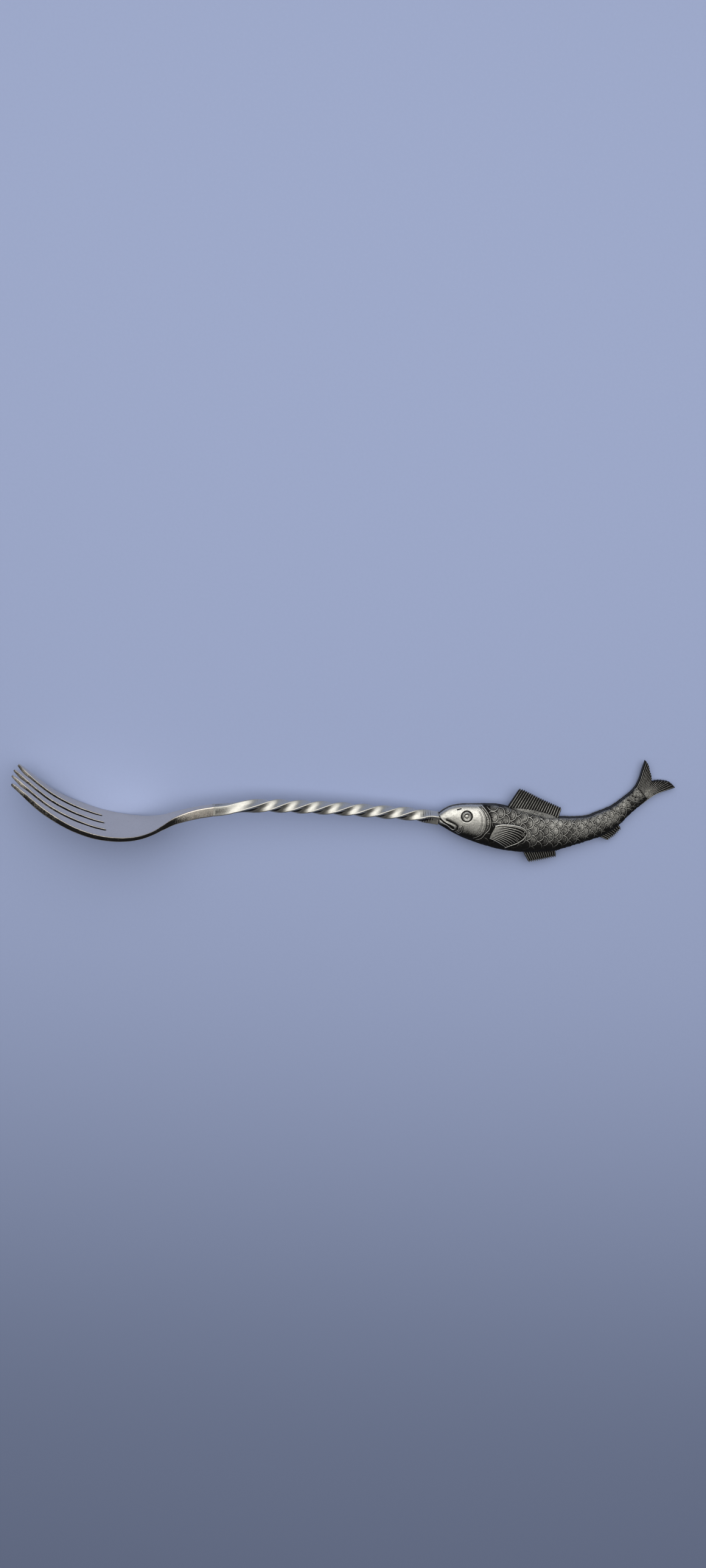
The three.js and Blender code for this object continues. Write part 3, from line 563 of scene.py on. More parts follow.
class Tree(Nodes):
    """A node group, whose inputs and outputs have a name, and a default number or a kind of socket."""

    def __init__(self, name, kind, inputs, outputs):
        super().__init__(bpy.data.node_groups.new(name, kind))
        for direction, sockets in (("INPUT", inputs), ("OUTPUT", outputs)):
            for title, value in sockets.items():
                socket_type = SOCKET_OF.get(type(value), value)
                socket = self.tree.interface.new_socket(title, in_out=direction, socket_type=socket_type)
                if type(value) in SOCKET_OF:
                    socket.default_value = value
        sockets = self.tree.nodes.new("NodeGroupInput").outputs
        self.inputs = {socket.name: Value(self, socket) for socket in sockets if socket.name}
        self.outputs = self.tree.nodes.new("NodeGroupOutput").inputs

    def finish(self, geometry):
        """Ends a geometry tree with plain geometry in its material."""
        real = self.node("GeometryNodeRealizeInstances", Geometry=geometry)
        painted = self.node("GeometryNodeSetMaterial", Geometry=real, Material=self.inputs["Material"])
        self.put(self.outputs["Geometry"], painted)
        return self.tree


# Forked head


def without_crowding(rows, keys, gap):
    """Sorted places without those closer than a gap to their neighbour, but with all the keys."""
    kept = []
    for x in sorted(set(rows) | set(keys)):
        near = kept and x - kept[-1] < gap
        if near and x not in keys:
            continue
        if near and kept[-1] not in keys:
            kept[-1] = x
        else:
            kept.append(x)
    return np.array(kept)


def half_width(x):
    share = np.clip((x - HEAD_START) / HEAD_LENGTH, 0, 1)
    return BAR_SIDE / 2 + (HEAD_HALF_WIDTH - BAR_SIDE / 2) * table(WIDTH, share)


def slot_edge(slot, side, x):
    """One edge of a slot. Beyond the root it follows the flow of the plate to the neck."""
    end = SLOT_ENDS[slot]
    root = end - SLOT_ROOT_HALF
    share = np.clip((x - HEAD_START) / (root - HEAD_START), 0, 1)
    centre = (slot - 1) * (SLOT_MOUTH_PITCH + (SLOT_ROOT_PITCH - SLOT_MOUTH_PITCH) * share)
    beyond = (slot - 1) * SLOT_ROOT_PITCH * half_width(x) / half_width(np.array([end]))
    half = SLOT_MOUTH_HALF + (SLOT_ROOT_HALF - SLOT_MOUTH_HALF) * share
    bow = np.sqrt(np.maximum(SLOT_ROOT_HALF ** 2 - (x - root) ** 2, 0))
    half = np.where(x > root, np.where(x < end, bow, 0), half)
    return np.where(x < end, centre, beyond) + side * half


def tine_edges(tine, x):
    """Both edges of a tine, drawn in to its nose, and where the nose starts."""
    low = -half_width(x) if tine == 0 else slot_edge(tine - 1, 1, x)
    high = half_width(x) if tine == LAST_TINE else slot_edge(tine, -1, x)
    outer = {0: -1, LAST_TINE: 1}.get(tine, 0)
    first = HEAD_START + (OUTER_SETBACK if outer else 0)
    middle = (low + high) / 2
    tip = outer * (half_width(np.array([HEAD_START])) - TIP_HALF) if outer else middle
    nose = first + TIP_HALF
    shoulder = nose + TIP_LENGTH
    swell = nose + TIP_LENGTH * TIP_SWELL
    a = shoulder - 2 * swell + nose
    b = 2 * (shoulder - swell)
    left = np.clip(shoulder - x, 0, TIP_LENGTH)
    turn = (b - np.sqrt(np.maximum(b * b - 4 * a * left, 0))) / (2 * a)
    low = low + turn ** 2 * (tip - TIP_HALF - low)
    high = high + turn ** 2 * (tip + TIP_HALF - high)
    bow = TIP_HALF * np.sqrt(np.clip(1 - (nose - x) / TIP_HALF, 0, 1))
    return np.where(x < nose, tip - bow, low), np.where(x < nose, tip + bow, high), first


def head_rows():
    """Places along the head for the rows of its grid: closer together at the noses and slot ends."""
    turn = 1 - np.cos(np.linspace(0, math.pi / 2, 10))
    noses = [HEAD_START, HEAD_START + OUTER_SETBACK]
    rows = [np.linspace(HEAD_START + TIP_LENGTH, HEAD_END, 200)]
    rows += [np.linspace(HEAD_START, HEAD_START + TIP_LENGTH, 40)]
    rows += [nose + 2 * TIP_HALF * turn for nose in noses]
    rows += [end - SLOT_ROOT_HALF * turn for end in SLOT_ENDS]
    keys = [round(key, 4) for key in noses + SLOT_ENDS]
    return without_crowding([round(row, 4) for row in np.concatenate(rows)], keys, HEAD_ROW_GAP)


def head_edge(x, edges, ends):
    """Close points along every free edge of the tines and the palm, seen from the front."""
    line = []
    for tine, (low, high, first) in enumerate(edges):
        sides = ((tine == 0, low, ends[max(tine - 1, 0)]), (tine == LAST_TINE, high, ends[min(tine, 2)]))
        for outer, at, last in sides:
            keep = (x >= first - 1e-6) & ((np.arange(len(x)) <= last) | outer)
            fine = np.arange(x[keep][0], x[keep][-1], 0.015)
            line.append(np.column_stack([fine, np.interp(fine, x[keep], at[keep])]))
    return np.vstack(line)


def head_mesh():
    """The head as a grid over each tine that runs on through the palm to the neck."""
    x = head_rows()
    ends = [int(np.argmin(abs(x - end))) for end in SLOT_ENDS]
    share = (x - HEAD_START) / HEAD_LENGTH
    neck = table(NECK_BLEND, share)
    plate = PLATE * table(THICKNESS, share)
    thick = plate + (BAR_SIDE - plate) * neck
    round_edge = plate * PLATE_CORNER
    bend = np.minimum(round_edge + (BAR_CORNER - round_edge) * neck, thick * 0.49)
    keel = KEEL_DEPTH * table(KEEL, share)
    height = HEAD_DEPTH * table(FACE, share)
    slope = np.gradient(height, x) * np.clip((HEAD_END - x) / 2.5, 0, 1)
    length = np.hypot(1, slope)
    up_x, up_y = -slope / length, 1 / length
    # The sawn walls hold oxide in their pits, most near the tips of the tines.
    wall = 0.14 + 0.5 * neck ** 2 + 0.26 * np.clip((HEAD_START + 11 - x) / 9, 0, 1)

    columns = np.array([0, 0.005, 0.018, 0.04, 0.07, 0.105, 0.15, 0.21, 0.29, 0.39, 0.5])
    columns = np.concatenate([columns, 1 - columns[-2::-1]])
    edges = [tine_edges(tine, x) for tine in range(LAST_TINE + 1)]
    line = head_edge(x, edges, ends)

    points, faces, relief = [], [], []
    for tine, (low, high, first) in enumerate(edges):
        start = int(np.argmin(abs(x - first)))
        rows_x = x[start:]
        across = low[start:, None] + (high - low)[start:, None] * columns
        along = np.repeat(rows_x[:, None], len(columns), 1)
        flat = np.column_stack([along.ravel(), across.ravel(), np.zeros(along.size)])
        off = distances(flat, line).reshape(along.shape)
        low_last = len(rows_x) if tine == 0 else ends[tine - 1] + 1 - start
        high_last = len(rows_x) if tine == LAST_TINE else ends[tine] + 1 - start
        off[:low_last, 0] = 0
        off[:high_last, -1] = 0
        off[0, :] = 0
        r = bend[start:, None]
        drop = r - np.sqrt(np.maximum(r ** 2 - np.maximum(r - off, 0) ** 2, 0))
        hang = keel[start:, None] * (1 - np.clip(abs(across) / half_width(rows_x)[:, None], 0, 1) ** 1.5)
        hand = (0.03 * bumps(flat, 5.0, 3) + 0.008 * bumps(flat, 1.3, 9)).reshape(along.shape)
        filed = np.clip((along - FILED_FROM) / 1.5, 0, 1) * np.clip((HEAD_END - along) / 0.6, 0, 1)
        hand = hand - filed * (0.035 + 0.05 * bumps(flat, 0.42, 21).reshape(along.shape))
        inland = np.clip(off / 0.4, 0, 1)
        base = sum(len(p) for p in points)
        # The back of the head, its convex side that faces down, gets painted shade: its edges are taken down
        # to 0.7 of the front's.
        for level, bright in ((-drop + hand * inland, 1.0),
                              (-thick[start:, None] + drop - hang + hand * inland, 0.7)):
            points.append(np.column_stack([
                (along + level * up_x[start:, None]).ravel(),
                (height[start:, None] + level * up_y[start:, None]).ravel(), across.ravel()]))
            edge = wall[start:, None] * bright
            relief.append((edge + (1 - edge) * np.clip(off / 0.07, 0, 1)).ravel())
        count = along.size
        grid = base + np.arange(count).reshape(along.shape)
        faces.append(quads(*along.shape, base))
        faces.append(quads(*along.shape, base + count, True))
        for border in (grid[:low_last, 0], grid[:high_last, -1], grid[-1]):
            faces.append(walls(border, count, closed=False))
    return new_mesh("fork_head", np.vstack(points), np.vstack(faces),
                    {"relief": np.concatenate(relief)}, weld=0.0008)


# Twisted stem


def stem_tree():
    """A square bar swept along its axis and twisted, with hollow flanks and a round tenon."""
    t = Tree("Twisted bar", "GeometryNodeTree", {
        "Start": 0.0, "Length": 50.0, "Side": 2.0, "Corner": 0.3, "Points": 400, "Turn": 6.28,
        "Ease in": 0.2, "Ease out": 0.05, "Twist end": 1.0, "Hollow": 0.1, "Hollow ease": 0.15,
        "Wander": 0.02, "Lift low": 0.0, "Lift high": 1.0, "Tenon radius": 0.7, "Tenon length": 5.0,
        "Tenon height": 0.0, "Marks": 0.5, "Lower oxide": 0.5, "Start oxide": 0.3, "Material": MATERIAL,
    }, {"Geometry": GEOMETRY})
    i = t.inputs
    along, flank = t.stored("along"), t.stored("flank")
    line = t.node("GeometryNodeCurvePrimitiveLine", Start=(0.0, 0.0, 0.0),
                  End=t.node("ShaderNodeCombineXYZ", X=i["Length"]))
    line = t.node("GeometryNodeResampleCurve", Curve=line, Count=i["Points"])

    # The turn's rate rises over the ease in, stays even, and falls over the ease out.
    at = t.out(t.node("GeometryNodeSplineParameter"))
    rate = i["Turn"] / (i["Twist end"] - (i["Ease in"] + i["Ease out"]) / 2.0)
    risen = at.at_most(i["Ease in"]) ** 2.0 / (i["Ease in"] * 2.0)
    even = (at - i["Ease in"]).at_least(0.0)
    late = (at - (i["Twist end"] - i["Ease out"])).at_least(0.0)
    falling = late.at_most(i["Ease out"]) ** 2.0 / (i["Ease out"] * 2.0)
    over = (at - i["Twist end"]).at_least(0.0)
    tilt = rate * ((risen + even) - (falling + over)) * -1.0
    line = t.node("GeometryNodeSetCurveTilt", Curve=line, Tilt=tilt)
    line = t.store(line, "along", at)

    square = t.node("GeometryNodeCurvePrimitiveQuadrilateral", Width=i["Side"], Height=i["Side"])
    square = t.node("GeometryNodeFilletCurve", {"mode": "POLY"}, Curve=square, Count=8, Radius=i["Corner"])
    square = t.node("GeometryNodeSubdivideCurve", Curve=square, Cuts=2)
    x, y, _ = t.split(t.node("GeometryNodeInputPosition"))
    square = t.store(square, "flank", abs((x * x - y * y) / (x * x + y * y)) ** 1.5)
    bar = t.node("GeometryNodeCurveToMesh", Curve=line, Profile_Curve=square, Fill_Caps=True)

    inwards = t.vector("MULTIPLY", t.node("GeometryNodeInputPosition"), (0.0, -1.0, -1.0))
    inwards = t.vector("NORMALIZE", inwards)
    grain = t.noise(0.45, 3.0)
    inside = t.smooth(along, 0.0, 0.03) * t.smooth(along, 1.0, 0.97)
    wander = (grain - 0.5) * i["Wander"] * inside
    depth = flank * t.smooth(along, 0.0, i["Hollow ease"]) * i["Hollow"] + wander
    move = t.vector("SCALE", inwards, Scale=depth)
    bar = t.node("GeometryNodeSetPosition", Geometry=bar, Offset=move)

    # The axis rises and falls along the stem, with every ring kept upright.
    lift = t.node("ShaderNodeFloatCurve", i1=along)
    bow = lift.mapping.curves[0].points
    shares = [(place_at, (up - STEM_LOW) / (STEM_HIGH - STEM_LOW)) for place_at, up in STEM_AXIS]
    bow[0].location, bow[1].location = shares[0], shares[-1]
    for share in shares[1:-1]:
        bow.new(*share)
    lift.mapping.update()
    height = t.math("MULTIPLY_ADD", lift, i["Lift high"] - i["Lift low"], i["Lift low"]) * i["Side"]
    bar = t.node("GeometryNodeSetPosition", Geometry=bar,
                 Offset=t.node("ShaderNodeCombineXYZ", X=i["Start"], Y=height))

    # File marks cross the bar where it was cleaned up for the joint.
    x, _, _ = t.split(t.node("GeometryNodeInputPosition"))
    marks = t.smooth(t.math("SINE", x * 12.0 + (grain - 0.5) * 4.0), 0.2, 0.9)
    marks = marks * (t.smooth(along, 0.9, 0.93) * t.smooth(along, 0.985, 0.965)) * i["Marks"]
    # The hollow flanks hold oxide, and those facing down are darkened further with painted shade.
    _, facing, _ = t.split(t.node("GeometryNodeInputNormal"))
    lower = t.smooth(facing, -0.05, -0.75) * i["Lower oxide"]
    start = t.smooth(along, 0.16, 0.01) * i["Start oxide"]
    bar = t.store(bar, "relief", 1.0 - start - flank * (lower + 0.2) - marks)

    end = i["Start"] + i["Length"]
    peg = t.node("GeometryNodeCurvePrimitiveLine",
                 Start=t.node("ShaderNodeCombineXYZ", X=end - 0.3, Y=i["Tenon height"]),
                 End=t.node("ShaderNodeCombineXYZ", X=end + i["Tenon length"], Y=i["Tenon height"]))
    ring = t.node("GeometryNodeCurvePrimitiveCircle", Resolution=24, Radius=i["Tenon radius"])
    peg = t.node("GeometryNodeCurveToMesh", Curve=peg, Profile_Curve=ring, Fill_Caps=True)
    joined = t.node("GeometryNodeJoinGeometry")
    for piece in (peg, bar):
        t.put(joined.inputs[0], piece)
    return t.finish(joined)


def stem_mesh(material):
    # Besides oxide in its hollows, the bar gets painted shade on the flanks that face down.
    return node_mesh(
        "twisted_stem", bpy.data.meshes.new("bar base"), stem_tree(), Start=STEM_START, Length=STEM_LENGTH,
        Side=BAR_SIDE, Corner=BAR_CORNER, Points=STEM_POINTS, Turn=TWIST_TURN, Ease_in=EASE_IN,
        Ease_out=EASE_OUT, Twist_end=TWIST_END, Hollow=0.17, Hollow_ease=0.15, Wander=0.05,
        Lift_low=STEM_LOW, Lift_high=STEM_HIGH, Tenon_radius=TENON_RADIUS, Tenon_length=TENON_LENGTH,
        Tenon_height=TENON_HEIGHT, Marks=0.45, Lower_oxide=0.85, Start_oxide=0.36, Material=material)


# Solder at both ends of the stem


def bar_section(stem, at, centre, count):
    """The bar's outline where it crosses `at`: even steps round its centre, and their distances from it."""
    ring = np.array([v.co[1:] for v in stem.vertices if abs(v.co.x - at) < 0.03]) - (centre, 0)
    ring = ring[np.hypot(ring[:, 0], ring[:, 1]) > TENON_RADIUS + 0.1]
    ring = ring[np.argsort(np.arctan2(ring[:, 1], ring[:, 0]))]
    closed = np.vstack([ring, ring[:1]])
    run = run_along(closed)
    steps = np.linspace(0, run[-1], count, endpoint=False)
    section = np.column_stack([0 * steps] + [np.interp(steps, run, column) for column in closed.T])
    return section, np.linalg.norm(section, axis=1)[:, None]


def collar_mesh(stem):
    """Solder drawn up round the end of the bar: a low uneven fillet, widest against the fish."""
    section, radius = bar_section(stem, FISH_START - STEM_STEP, TENON_HEIGHT, 96)
    uneven = bumps(section / radius, 0.35, 5)[:, None]
    points, relief = [], []
    for along, proud in MOUTH_SOLDER:
        out = section * (1 + proud * (1 + 0.9 * uneven if proud > 0 else 1) / radius)
        shift = along * (1 + 0.5 * uneven) * np.array([1, 0, 0])
        points.append(out + (FISH_START - MOUTH_GAP, TENON_HEIGHT, 0) + shift)
        relief.append(np.full(len(section), 0.85 if -0.33 < along < -0.04 else 0.2))
    faces = hoops(len(MOUTH_SOLDER), len(section))
    return new_mesh("mouth_solder", np.vstack(points), faces, {"relief": np.concatenate(relief)})


def plate_mesh(stem):
    """Solder in the neck joint, filed flush with the bar, its edges ragged."""
    centre = STEM_AXIS[0][1] * BAR_SIDE
    section, radius = bar_section(stem, STEM_START, centre, 144)
    middle = (HEAD_END + STEM_START) / 2
    uneven = bumps(section, 0.3, 2)
    points, relief = [], []
    for along, proud in NECK_SOLDER:
        shell = section + np.outer(along * (1 + 0.5 * uneven), (1, 0, 0))
        relief.append(0.64 + 0.25 * bumps(shell, 0.25, 6))
        lift = centre + 0.2 * BAR_SIDE * np.interp(middle + along, [STEM_START, STEM_START + 1.5], [0, 0.114])
        out = shell + section * proud / radius
        points.append(out + (middle, lift, 0))
    ring = np.arange(len(section))
    faces = hoops(len(NECK_SOLDER), len(section), closed=False).tolist()
    faces += [ring.tolist(), (ring + (len(NECK_SOLDER) - 1) * len(section)).tolist()]
    return new_mesh("neck_solder", np.vstack(points), faces, {"relief": np.concatenate(relief)})


# Fish


def fish_points(shares):
    """Shares of the fish's length and depth to the fork frame's side view."""
    shares = np.asarray(shares, float).reshape(-1, 2)
    return np.column_stack([FISH_START + shares[:, 0] * FISH_LENGTH, shares[:, 1] * FISH_DEPTH])


def curve(shares, count):
    return spline(fish_points(shares), count)


def flank(at, rise):
    """Points on the smooth flank: `at` runs from snout to tail and `rise` from belly to back."""
    rows = follow(BODY, np.ravel(at))
    back = fish_points(rows[:, :2])
    belly = fish_points(rows[:, 2:4])
    rise = np.ravel(rise)
    flat = belly + (back - belly) * rise[:, None]
    off = abs(2 * rise - 1)
    dome = np.maximum(1 - off ** FLANK_ROUND, 0) ** (1 / FLANK_ROUND)
    return np.column_stack([flat, BODY_RIM + (rows[:, 4] * FISH_CROWN - BODY_RIM) * dome])


def gill_relief(points):
    """The raised lines of the gill cover, the rough band between them and the step behind them."""
    high = np.zeros(len(points))
    offs = []
    for shares, rise, width in zip(GILLS, (0.06, 0.07, 0.12), (0.055, 0.06, 0.09)):
        off, share = signed(points, curve(shares, 400))
        fade = end_fade(share, 0.06) * hump(np.maximum(abs(off) - 0.6, 0), 0.1)
        groove = hump(off - width - 0.09, 0.06) + 0.8 * hump(off + width + 0.09, 0.06)
        high += fade * (rise * hump(off, width) - rise * groove)
        offs.append(off)
    high -= 0.2 * fade * hump(offs[2] - 0.3, 0.15)
    band = np.clip(offs[1] / 0.15, 0, 1) * np.clip(-offs[2] / 0.15, 0, 1)
    return high + band * (0.05 * bumps(points, 0.22, 12) - 0.06)


def flank_details(points):
    """Height of the chased details over the smooth flank, in millimetres."""
    belly = fish_points(follow(BODY, np.linspace(0, 0.3, 400))[:, 2:4])
    high = -0.04 * hump(distances(points, belly) - 0.5, 0.14)
    high += gill_relief(points)
    off, _ = signed(points, curve(LIPS, 500))
    high += 0.17 * hump(off, 0.09)
    for shares, count, deep, width in ((MOUTH, 300, 0.4, 0.12), (CHEEK_HOLLOW, 200, 0.14, 0.24),
                                       (NOSTRIL, 120, 0.22, 0.08)):
        high -= deep * hump(distances(points, curve(shares, count)), width)
    for shares in WRINKLES:
        off, share = signed(points, curve(shares, 200))
        high += end_fade(share, 0.1) * (0.07 * hump(off, 0.07) - 0.1 * hump(off - 0.16, 0.07))
    eye = fish_points([EYE])[0]
    radius = np.hypot(points[:, 0] - eye[0], points[:, 1] - eye[1])
    high -= 0.16 * hump(radius - 1.12, 0.13)
    high -= 0.1 * hump(radius, 0.7)
    return high + 0.022 * bumps(points, 1.6, 4) + 0.01 * bumps(points, 0.35, 8)


def belly_shade(rise):
    """Painted shade under the belly: 1 on the flank, less towards the lower edge."""
    lower = np.clip((rise - 0.06) / 0.58, 0, 1)
    return 0.08 + 0.92 * lower * (2 - lower)


def body_relief(top, high, rise, edge):
    """How bright each place of the body is: polished head, dark behind the gills and at the rim, and painted
    shade towards the belly.
    """
    gill, _ = signed(top, curve(GILLS[-1], 300))
    scaled = np.clip(gill / 0.4, 0, 1) * (top[:, 0] > FISH_START + 0.15 * FISH_LENGTH)
    scaled[top[:, 0] > SCALES_ALL_ROUND] = 1
    ridges = hump(distances(top, curve(LIPS, 500)), 0.1)
    for shares in GILLS + WRINKLES:
        ridges = np.maximum(ridges, 0.8 * hump(distances(top, curve(shares, 400)), 0.07))
    # The body gets painted shade towards the belly.
    relief = np.clip(0.93 + high * 4.5, 0, 1) * belly_shade(rise) * (1 - 0.75 * scaled)
    return np.maximum(relief, 1.3 * ridges) * np.clip(0.7 + edge / 0.012, 0, 1)


def body_mesh():
    """The near half's body, its grid closer together over the head and towards the outline."""
    at = np.concatenate([np.linspace(0, 0.34, 320)[:-1], np.linspace(0.34, 1, 110)])
    even = np.linspace(0, 1, 151)
    rise = 0.7 * even + 0.3 * (0.5 - 0.5 * np.cos(math.pi * even))
    rows, columns = len(at), len(rise)
    rise_at = np.tile(rise, rows)
    top = flank(np.repeat(at, columns), rise_at)
    edge = np.minimum(rise_at, 1 - rise_at)
    high = flank_details(top) * np.clip(edge / 0.02, 0, 1)
    top[:, 2] += high
    hole = np.sqrt(np.maximum((TENON_RADIUS + HOLE_GAP) ** 2 - (top[:, 1] - TENON_HEIGHT) ** 2, 0))
    bottom = top.copy()
    bottom[:, 2] = np.maximum(SEAM, hole * (top[:, 0] < FISH_START + TENON_LENGTH + HOLE_GAP))
    count = len(top)
    index = np.arange(count).reshape(rows, columns)
    faces = quads(rows, columns).tolist() + walls(around(index), count).tolist()
    # The flat side has fewer columns than the flank, and meets all of them along its two ends.
    wide = np.arange(0, columns, 5)
    for row in range(rows - 1):
        for low, high_column in zip(wide[:-1], wide[1:]):
            every, ends = slice(low, high_column + 1), [low, high_column]
            near = index[row, every if row == 0 else ends]
            far = index[row + 1, every if row == rows - 2 else ends]
            faces.append((np.concatenate([near, far[::-1]]) + count).tolist())
    relief = body_relief(top, high, rise_at, edge)
    return new_mesh("fish_body", np.vstack([top, bottom]), faces,
                    {"relief": np.concatenate([relief, relief * 0.5])})


class Flank:
    """Heights of the smooth flank over any point of the side view."""

    def __init__(self):
        at, rise = np.meshgrid(np.linspace(0, 1, 260), np.linspace(0, 1, 80), indexing="ij")
        self.points = flank(at, rise)
        self.tree = search_tree(self.points)

    def over(self, xy):
        heights = []
        for x, y in np.asarray(xy)[:, :2]:
            near = self.tree.find_n((x, y, 0), 4)
            weight = np.array([1 / (off + 1e-4) ** 2 for _, _, off in near])
            heights.append(weight / weight.sum() @ self.points[[i for _, i, _ in near], 2])
        return np.array(heights)


# Fins


def patch(fin, s, t):
    """Points of the side view between the four edges of a fin: s across the rays, t along them."""
    root_line, edge_line = fish_points(fin["root"]), fish_points(fin["edge"])
    front_line = fish_points(fin.get("front", [fin["root"][0], fin["edge"][0]]))
    back_line = fish_points(fin.get("back", [fin["root"][-1], fin["edge"][-1]]))
    s, t = np.ravel(s), np.ravel(t)
    root, edge = spline(root_line, at=s), spline(edge_line, at=s)
    front, back = spline(front_line, at=t), spline(back_line, at=t)
    s, t = s[:, None], t[:, None]
    flat = (1 - t) * ((1 - s) * root_line[0] + s * root_line[-1])
    flat += t * ((1 - s) * edge_line[0] + s * edge_line[-1])
    return root + (edge - root) * t + front + (back - front) * s - flat


def bevel_share(fin, s):
    """How far along the rays the smooth bevel at a fin's base reaches at the places s, and their lengths."""
    s = np.asarray(s, float)
    run = patch(fin, s, np.ones(len(s))) - patch(fin, s, np.zeros(len(s)))
    length = np.hypot(run[:, 0], run[:, 1])
    return fin.get("bevel", 0.0) * np.sin(math.pi * np.clip(s, 0.02, 0.98)) ** 0.5 / length, length


def web_mesh(name, fin, rim, over=None):
    """The web of a fin, dished between its rays and notched between their tips."""
    rays = fin["rays"]
    s = np.linspace(0, 1, rays * 8 + 1)
    t = np.concatenate([np.linspace(0, 0.25, 22)[:-1], np.linspace(0.25, 1, 34)])
    rows, columns = len(s), len(t)
    s_at, t_at = np.repeat(s, columns), np.tile(t, rows)
    ridge = 0.5 - 0.5 * np.cos(2 * math.pi * rays * s_at)
    bevel, length = (np.repeat(values, columns) for values in bevel_share(fin, s))
    tooth = fin.get("tooth", TOOTH) * (1 - ridge) / np.maximum(length, 0.5)
    flat = patch(fin, s_at, t_at * (1 - tooth))
    under = np.full(len(flat), SEAM)
    height = np.full(len(flat), rim)
    if over is not None:
        under = over.over(flat) - WEB_SUNK
        height = rim + under + WEB_SUNK
    raised = np.clip(1 - t_at / np.maximum(bevel, 1e-3), 0, 1) * (bevel > 1e-3)
    dish = 0.17 * (1 - ridge) * np.clip((t_at - bevel) / 0.05, 0, 1)
    grain = np.column_stack([flat, np.zeros(len(flat))])
    height = under + (height - under) * (1 - FIN_TAPER * t_at) - dish + 0.015 * bumps(grain, 0.7, 31)
    height += raised * 0.8 * np.clip(bevel / 0.1, 0, 1)
    count = len(flat)
    border = around(np.arange(count).reshape(rows, columns))
    faces = np.vstack([quads(rows, columns), quads(rows, columns, count, True), walls(border, count)])
    points = np.vstack([np.column_stack([flat, height]), np.column_stack([flat, under])])
    relief = np.clip(0.2 * ridge, 0, 1)
    relief = np.where(raised > 0, 0.6 * np.clip((1 - raised) / 0.2, 0.1, 1), relief)
    relief[border] *= 0.5
    return new_mesh(name, points, faces, {"relief": np.concatenate([relief, relief * 0])})


def ray_tree():
    """Tapered rays swept along the edges of a mesh, half sunk in the web."""
    t = Tree("Fin rays", "GeometryNodeTree", {
        "Lines": GEOMETRY, "Radius": 0.2, "Sides": 10, "Points": 24, "Waver": 0.02, "Relief": 0.8,
        "Seed": 1, "Material": MATERIAL,
    }, {"Geometry": GEOMETRY})
    i = t.inputs
    line = t.node("GeometryNodeMeshToCurve", Mesh=i["Lines"])
    line = t.node("GeometryNodeResampleCurve", Curve=line, Count=i["Points"])
    grain = t.node("ShaderNodeTexNoise", {"noise_dimensions": "4D"}, W=i["Seed"], Scale=1.1, Detail=1.0)
    waver = t.vector("SUBTRACT", grain.outputs["Color"], (0.5, 0.5, 0.5))
    line = t.node("GeometryNodeSetPosition", Geometry=line, Offset=t.vector("SCALE", waver, Scale=i["Waver"]))
    ring = t.node("GeometryNodeCurvePrimitiveCircle", Resolution=i["Sides"], Radius=i["Radius"])
    at = t.out(t.node("GeometryNodeSplineParameter"))
    taper = t.stored("thick") * t.smooth(at, 1.15, 0.2, 0.45, 1.0)
    rays = t.node("GeometryNodeCurveToMesh", Curve=line, Profile_Curve=ring, Scale=taper, Fill_Caps=True)
    return t.finish(t.store(rays, "relief", i["Relief"]))


def ray_lines(name, fin, rim, over=None, start=0.02):
    """Polylines for the rays of a fin, with how thick each is."""
    rays = fin["rays"]
    points, edges, thick = [], [], []
    for ray in range(rays):
        at = (ray + 0.5) / rays
        t = np.linspace(start + bevel_share(fin, [at])[0][0], 1.0 if over is None else 0.93, 16)
        flat = patch(fin, np.full(len(t), at), t)
        height = rim * (1 - FIN_TAPER * t) - 0.015
        if over is not None:
            height = over.over(flat) + rim * (1 - FIN_TAPER * t) - 0.03
        first = ray * len(t)
        points.append(np.column_stack([flat, height]))
        edges += [(first + k, first + k + 1) for k in range(len(t) - 1)]
        beside = patch(fin, [ray / rays, (ray + 1) / rays], [0.6, 0.6])
        thick.append(np.full(len(t), np.linalg.norm(beside[1] - beside[0])))
    return new_mesh(name, np.vstack(points), [], {"thick": np.concatenate(thick)}, edges)


def rim_line(fin, rim, over):
    """One polyline round the front and the free edge of a fin, thickest in front."""
    share = np.linspace(0, 1, 60)
    flat = curve(fin["front"] + fin["edge"][1:], len(share))
    height = over.over(flat) + rim * (1 - FIN_TAPER * np.clip(share * 1.6, 0, 1)) - 0.06
    return new_mesh("rim", np.column_stack([flat, height]), [], {"thick": 1.2 - 0.4 * share},
                    [(k, k + 1) for k in range(len(share) - 1)])


# Scales


def scale_unit():
    """One scale: a domed disc with a raised rim, its free edge towards the tail (+X)."""
    turn = np.linspace(0, 2 * math.pi, SCALE_SIDES, endpoint=False)
    points, relief = [(0, 0, 0.085)], [0.52]
    for radius, height, value in SCALE_RINGS:
        points += [(radius * math.cos(a), radius * math.sin(a), height) for a in turn]
        relief += [value + (0.2 * radius * math.cos(a) if 0.1 < value < 1 else 0) for a in turn]
    rings = 1 + np.arange(len(SCALE_RINGS) * SCALE_SIDES).reshape(-1, SCALE_SIDES)
    faces = [(0, a, b) for a, b in zip(rings[0], np.roll(rings[0], -1))]
    for ring in rings[:-1]:
        after = np.roll(ring, -1)
        faces += np.stack([ring, ring + SCALE_SIDES, after + SCALE_SIDES, after], -1).tolist()
    return new_mesh("scale", points, faces + [rings[-1]], {"relief": relief})


